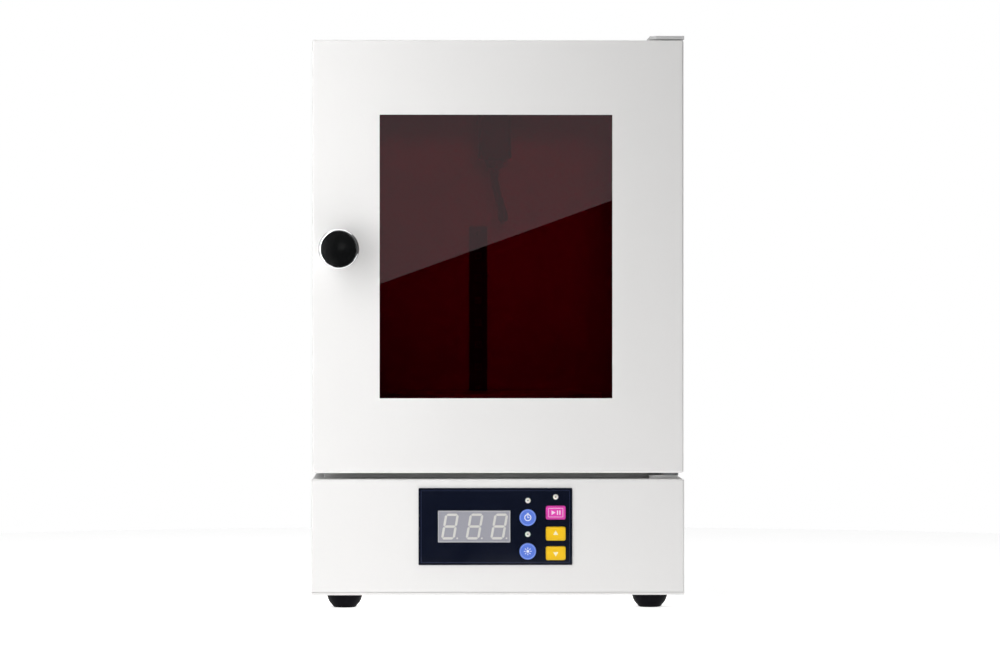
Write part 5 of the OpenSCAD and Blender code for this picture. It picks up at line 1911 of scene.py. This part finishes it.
@dataclass
class Switch:
    """The power switch: a bezel and its rocker, printed with a bar for on and a ring for off."""

    body: str = "cabinet"
    pivot_in: float = 1.5
    well_w: float = 10.4
    well_h: float = 21.4
    well_deep: float = 10.0
    half_w: float = 5.0
    half_l: float = 9.5
    mid_h: float = 3.4
    end_h: float = 5.07
    under: float = 3.0
    under_l: float = 4.0
    axle_r: float = 1.0
    axle_out: float = 1.2
    tilt: float = 10.0
    ink: float = 0.12

    def build(self) -> None:
        """Models the bezel, the rocker and its marks."""
        box, rocker, back = node_box("rocker_housing"), node_box("rocker"), node_box("base_back").high.y
        half = Vector((self.well_w / 2, 0, self.well_h / 2))
        middle = Vector((rocker.mid.x, 0, box.mid.z))
        well = Box(middle - half, middle + half).between(y0=back - self.well_deep, y1=box.high.y + OVER)
        bezel = cut(rounded_slab("switch_bezel", box, 1.5), [block("well", well)])
        dress(soften(bezel, 0.4, angle=SHARP), BLACK_PBT, self.body, ["rocker_housing"])
        self.pivot = Vector((rocker.mid.x, back - self.pivot_in, box.mid.z))
        lever, marks = self.lever(), self.marks()
        for piece in (lever, marks):
            swung(piece, self.pivot, -self.tilt, "X")
        dress(lever, BLACK_PBT, "rocker", ["rocker"])
        dress(marks, SWITCH_INK, "rocker")

    def lever(self) -> Piece:
        """The rocker on its axle, level.

        Returns:
            The piece.
        """
        pivot = self.pivot
        low = Vector((self.half_w, self.under, self.half_l))
        high = Vector((self.half_w, self.end_h, self.half_l))
        key = block("power_rocker", Box(pivot - low, pivot + high))
        with editing(key):
            slice_at(pivot.z, 2)
        for vert in key.data.vertices:
            point = vert.co / MM - pivot
            if point.y > 0 and near(point.z, 0):
                vert.co.y = (pivot.y + self.mid_h) * MM
            elif point.y < 0 and not near(point.z, 0):
                vert.co.z = (pivot.z + math.copysign(self.under_l, point.z)) * MM
        soften(key, 0.5, 3, 20)
        reach = self.half_w + self.axle_out
        axle = drum("axle", pivot - Vector((reach, 0, 0)), (1, 0, 0), 2 * reach, self.axle_r, 24)
        return joined("power_rocker", [key, axle])

    def marks(self) -> Piece:
        """The bar and the ring on the rocker's two slopes.

        Returns:
            The piece.
        """
        slope = math.degrees(math.atan2(self.end_h - self.mid_h, self.half_l))
        rise = (self.mid_h + self.end_h) / 2 + 0.02
        ring, bar = (self.pivot + Vector((0, rise, side * self.half_l / 2)) for side in (-1, 1))
        outline = [(1.1, 0), (1.75, 0), (1.75, self.ink), (1.1, self.ink), (1.1, 0)]
        off = swung(turned("mark", outline, ring - BACK * self.ink / 2, BACK, 32), ring, -slope, "X")
        half = Vector((0.35, self.ink / 2, 1.8))
        on = swung(block("mark", Box(bar - half, bar + half)), bar, slope, "X")
        return joined("switch_signs", [off, on])


@dataclass(frozen=True)
class SoftLight:
    """An area light: its name, its place, its width and height, and its power in watts."""

    name: str
    at: tuple[float, float, float]
    size: Pair
    power: float

    def hang(self, aim: Point) -> Piece:
        """Adds the light to the scene, out of the camera's sight.

        Args:
            aim: the point that it faces.

        Returns:
            The light.
        """
        data = bpy.data.lights.new(self.name, "AREA")
        data.shape = "RECTANGLE"
        data.size, data.size_y, data.energy = self.size[0] * MM, self.size[1] * MM, self.power
        light = bpy.data.objects.new(self.name, data)
        bpy.context.scene.collection.objects.link(light)
        light.location = Vector(self.at) * MM
        light.rotation_euler = (Vector(aim) - Vector(self.at)).to_track_quat("-Z", "Y").to_euler()
        light.visible_camera = False
        return light


@dataclass
class Studio:
    """A pale floor, plain soft light and the camera of the photograph.

    The photograph shows the cabinet from the front, a little to the left of its middle. The scale at
    the door's face is in millimetres a pixel. The wall and the card behind the camera are given by
    the pixels of the photograph that mirror them.
    """

    scale: float = 0.67
    image_w: int = 1000
    image_h: int = 646
    camera_x: float = -57.0
    distance: float = 2600.0
    middle: Pair = (498.0, 595.0)
    feet_top: float = 9.4
    sensor: float = 36.0
    floor_r: float = 950.0
    key: SoftLight = SoftLight("key_light", (-290.0, -400.0, 380.0), (80.0, 560.0), 1.08)
    top: SoftLight = SoftLight("top_light", (0.0, -150.0, 1700.0), (2200.0, 2200.0), 18.5)
    fill: SoftLight = SoftLight("fill_light", (-57.0, -1500.0, 90.0), (600.0, 60.0), 0.9)
    sky: float = 0.42
    sky_left: float = 1.8
    sky_right: float = 0.1
    sky_fill: float = 0.2
    sky_front: float = 0.08
    front_edge: float = -0.75
    sky_through: float = 1.75
    floor_glow: float = 0.55
    card_glow: float = 0.75
    card_through: float = 0.95
    wall_back: float = 500.0
    wall_x: Pair = (280.0, 660.0)
    wall_y: Pair = (80.0, 430.0)
    card_gap: float = 20.0
    card_left: Pair = (380.0, 283.5)
    card_right: Pair = (612.0, 200.5)
    card_top: float = 60.0
    card_over: float = 20.0
    strip_x: Pair = (-200.0, 230.0)
    strip_y: Pair = (-950.0, -430.0)
    strip_z: float = 2.0

    def build(self) -> None:
        """Sets up the view, the world, the floor, the lights and the cards."""
        bpy.context.scene.view_settings.view_transform = "Standard"
        self.front = node_box("door_outer").low.y
        self.build_camera()
        self.build_world()
        self.build_floor()
        self.build_lights()
        self.build_cards()

    def at_pixel(self, x: float, y: float) -> Vector:
        """The point on the door's face that a pixel of the photograph shows."""
        across, up = (x - self.middle[0]) * self.scale, (self.middle[1] - y) * self.scale
        return Vector((across, self.front, self.feet_top + up))

    def build_camera(self) -> None:
        """Adds the camera, which looks square at the door from a little to the left."""
        aim = self.at_pixel(self.image_w / 2, self.image_h / 2)
        self.eye = Vector((self.camera_x, self.front - self.distance, aim.z))
        data = bpy.data.cameras.new("studio_camera")
        data.sensor_width = self.sensor
        data.lens = self.sensor * (aim - self.eye).length / (self.image_w * self.scale)
        data.clip_end = 20.0
        camera = bpy.data.objects.new("studio_camera", data)
        bpy.context.scene.collection.objects.link(camera)
        camera.location = self.eye * MM
        camera.rotation_euler = (aim - self.eye).to_track_quat("-Z", "Y").to_euler()
        bpy.context.scene.camera = camera

    def build_world(self) -> None:
        """Lights the scene from all round on a white ground, more from the left and less from the front.

        What shines sees more of this light than what is matt, and it sees the room behind the camera
        dark.
        """
        world = bpy.data.worlds.new("studio_world")
        bpy.context.scene.world = world
        world.use_nodes = True
        tree = world.node_tree
        tree.nodes.clear()
        way = add(tree, "ShaderNodeTexCoord").outputs["Generated"]
        ways = add(tree, "ShaderNodeSeparateXYZ", links={0: way}).outputs
        path = add(tree, "ShaderNodeLightPath").outputs

        def ramp(socket: Socket, start: float, end: float, low: float, high: float) -> Socket:
            """Maps a socket from start to end onto low to high."""
            values = {"From Min": start, "From Max": end, "To Min": low, "To Max": high}
            return add(tree, "ShaderNodeMapRange", values, {"Value": socket}).outputs[0]

        def times(first: Socket, second: Socket) -> Socket:
            """Multiplies two sockets."""
            return add(tree, "ShaderNodeMath", links={0: first, 1: second}, operation="MULTIPLY").outputs[0]

        dark_front = ramp(ways["Y"], -1.0, self.front_edge, 1.0 - self.sky_front, 0.0)
        shine = ramp(times(dark_front, path["Is Glossy Ray"]), 0.0, 1.0, 1.0, 0.0)
        level = times(ramp(ways["X"], -1.0, 1.0, self.sky_left * self.sky, self.sky_right * self.sky), shine)
        level = times(level, ramp(path["Is Diffuse Ray"], 0.0, 1.0, 1.0, self.sky_fill))
        level = times(level, ramp(path["Is Transmission Ray"], 0.0, 1.0, 1.0, self.sky_through))
        white = linear("#ffffff")
        soft = add(tree, "ShaderNodeBackground", {"Color": white}, {"Strength": level}).outputs[0]
        ground = add(tree, "ShaderNodeBackground", {"Color": white, "Strength": 1.0}).outputs[0]
        mix = add(tree, "ShaderNodeMixShader", links={0: path["Is Camera Ray"], 1: soft, 2: ground})
        add(tree, "ShaderNodeOutputWorld", links={"Surface": mix.outputs[0]})

    def plain(self, name: str, colour: str, glow: float = 0.0) -> Material:
        """A plain matt studio material, which may glow.

        Args:
            name: the material's name.
            colour: its colour.
            glow: the strength of its white glow.

        Returns:
            The material.
        """
        material = bpy.data.materials.new(name)
        material.use_nodes = True
        values = {"Base Color": linear(colour), "Roughness": 0.9, "Specular IOR Level": 0.0}
        values |= {"Emission Color": linear("#ffffff"), "Emission Strength": glow}
        for key, value in values.items():
            material.node_tree.nodes["Principled BSDF"].inputs[key].default_value = value
        return material

    def pale_card_material(self) -> Material:
        """The pale card's glow, which is stronger for what looks out at it through the filter pane."""
        material = self.plain("pale_card", "#000000", self.card_glow)
        tree = material.node_tree
        path = add(tree, "ShaderNodeLightPath").outputs["Is Transmission Ray"]
        values = {"To Min": self.card_glow, "To Max": self.card_through}
        glow = add(tree, "ShaderNodeMapRange", values, {"Value": path}).outputs[0]
        tree.links.new(glow, tree.nodes["Principled BSDF"].inputs["Emission Strength"])
        return material

    def build_floor(self) -> None:
        """Adds the pale floor."""
        floor = drum("studio_floor", (0, 0, -0.5), UP, 0.5, self.floor_r, 96)
        floor.data.materials.append(self.plain("studio_floor", "#ffffff", self.floor_glow))

    def build_lights(self) -> None:
        """Adds the near key light at the left, the wide top light and a low fill light in front.

        The fill light stands at the height of the seam under the door and shines straight into it.
        Nothing glossy shows it, as if it were crossed by a polariser.
        """
        self.key.hang((0, self.front, self.key.at[2]))
        self.top.hang((0, 0, 0))
        fill = self.fill.hang((self.fill.at[0], self.front, self.fill.at[2]))
        fill.visible_glossy = fill.visible_transmission = False

    def build_cards(self) -> None:
        """Adds what the window mirrors: a dark wall behind the camera, and a pale card in front of it.

        The card's lower edge is the slanted line that crosses the window. A card's place is where
        the camera's mirror image, seen through the pane, meets the card's plane. A dark strip on the
        floor darkens what the window's foot mirrors.
        """
        pane = node_box("window_pane")
        wall_y = self.eye.y - self.wall_back
        image = Vector((self.eye.x, 2 * pane.low.y - self.eye.y, self.eye.z))

        def through(x: float, y: float, plane: float) -> Vector:
            """Where the ray that shows a pixel of the pane meets a plane behind the camera."""
            seen = self.at_pixel(x, y)
            spot = self.eye + (seen - self.eye) * ((pane.low.y - self.eye.y) / (seen.y - self.eye.y))
            return image + (spot - image) * ((plane - image.y) / (spot.y - image.y))

        black = self.plain("dark_wall", "#000000")
        (x0, x1), (top, foot) = self.wall_x, self.wall_y
        wall = [through(x, y, wall_y) for x, y in ((x0, foot), (x1, foot), (x1, top), (x0, top))]
        self.card("dark_wall", wall, black)
        (x0, x1), (y0, y1), z = self.strip_x, self.strip_y, self.strip_z
        strip = [Vector((x, y, z)) for x, y in ((x0, y0), (x1, y0), (x1, y1), (x0, y1))]
        self.card("dark_strip", strip, black)
        plane = wall_y + self.card_gap
        left, right = through(*self.card_left, plane), through(*self.card_right, plane)
        over = (right - left) / (right.x - left.x) * self.card_over
        start, end = left - over, right + over
        high = through(self.card_left[0], self.card_top, plane).z
        corners = [start, end, Vector((end.x, plane, high)), Vector((start.x, plane, high))]
        self.card("pale_card", corners, self.pale_card_material(), seen_through=True)

    def card(
        self, name: str, corners: Sequence[Vector], material: Material, seen_through: bool = False
    ) -> None:
        """Adds a flat card that only mirrors show.

        Args:
            name: the card's name.
            corners: its four corners.
            material: its material.
            seen_through: True if what looks out through the pane sees it too.
        """
        deselect()
        bpy.ops.mesh.primitive_plane_add(size=1)
        card = named(name)
        order = (corners[0], corners[1], corners[3], corners[2])
        for vert, corner in zip(card.data.vertices, order):
            vert.co = corner * MM
        card.data.materials.append(material)
        card.visible_camera = card.visible_diffuse = card.visible_shadow = False
        card.visible_transmission = seen_through


def main() -> None:
    """Builds the studio and every sub-assembly, and reports each one."""
    logging.basicConfig(level=logging.INFO, format="%(name)s: %(message)s")
    parts = (Studio(), Door(), Knob(), Cabinet(), Chamber(), Hanger(), Base(), ControlPanel(), RearFittings(),
             Fan(), Switch())
    for part in parts:
        LOG.info("%s", type(part).__name__)
        part.build()


if __name__ == "__main__":
    main()
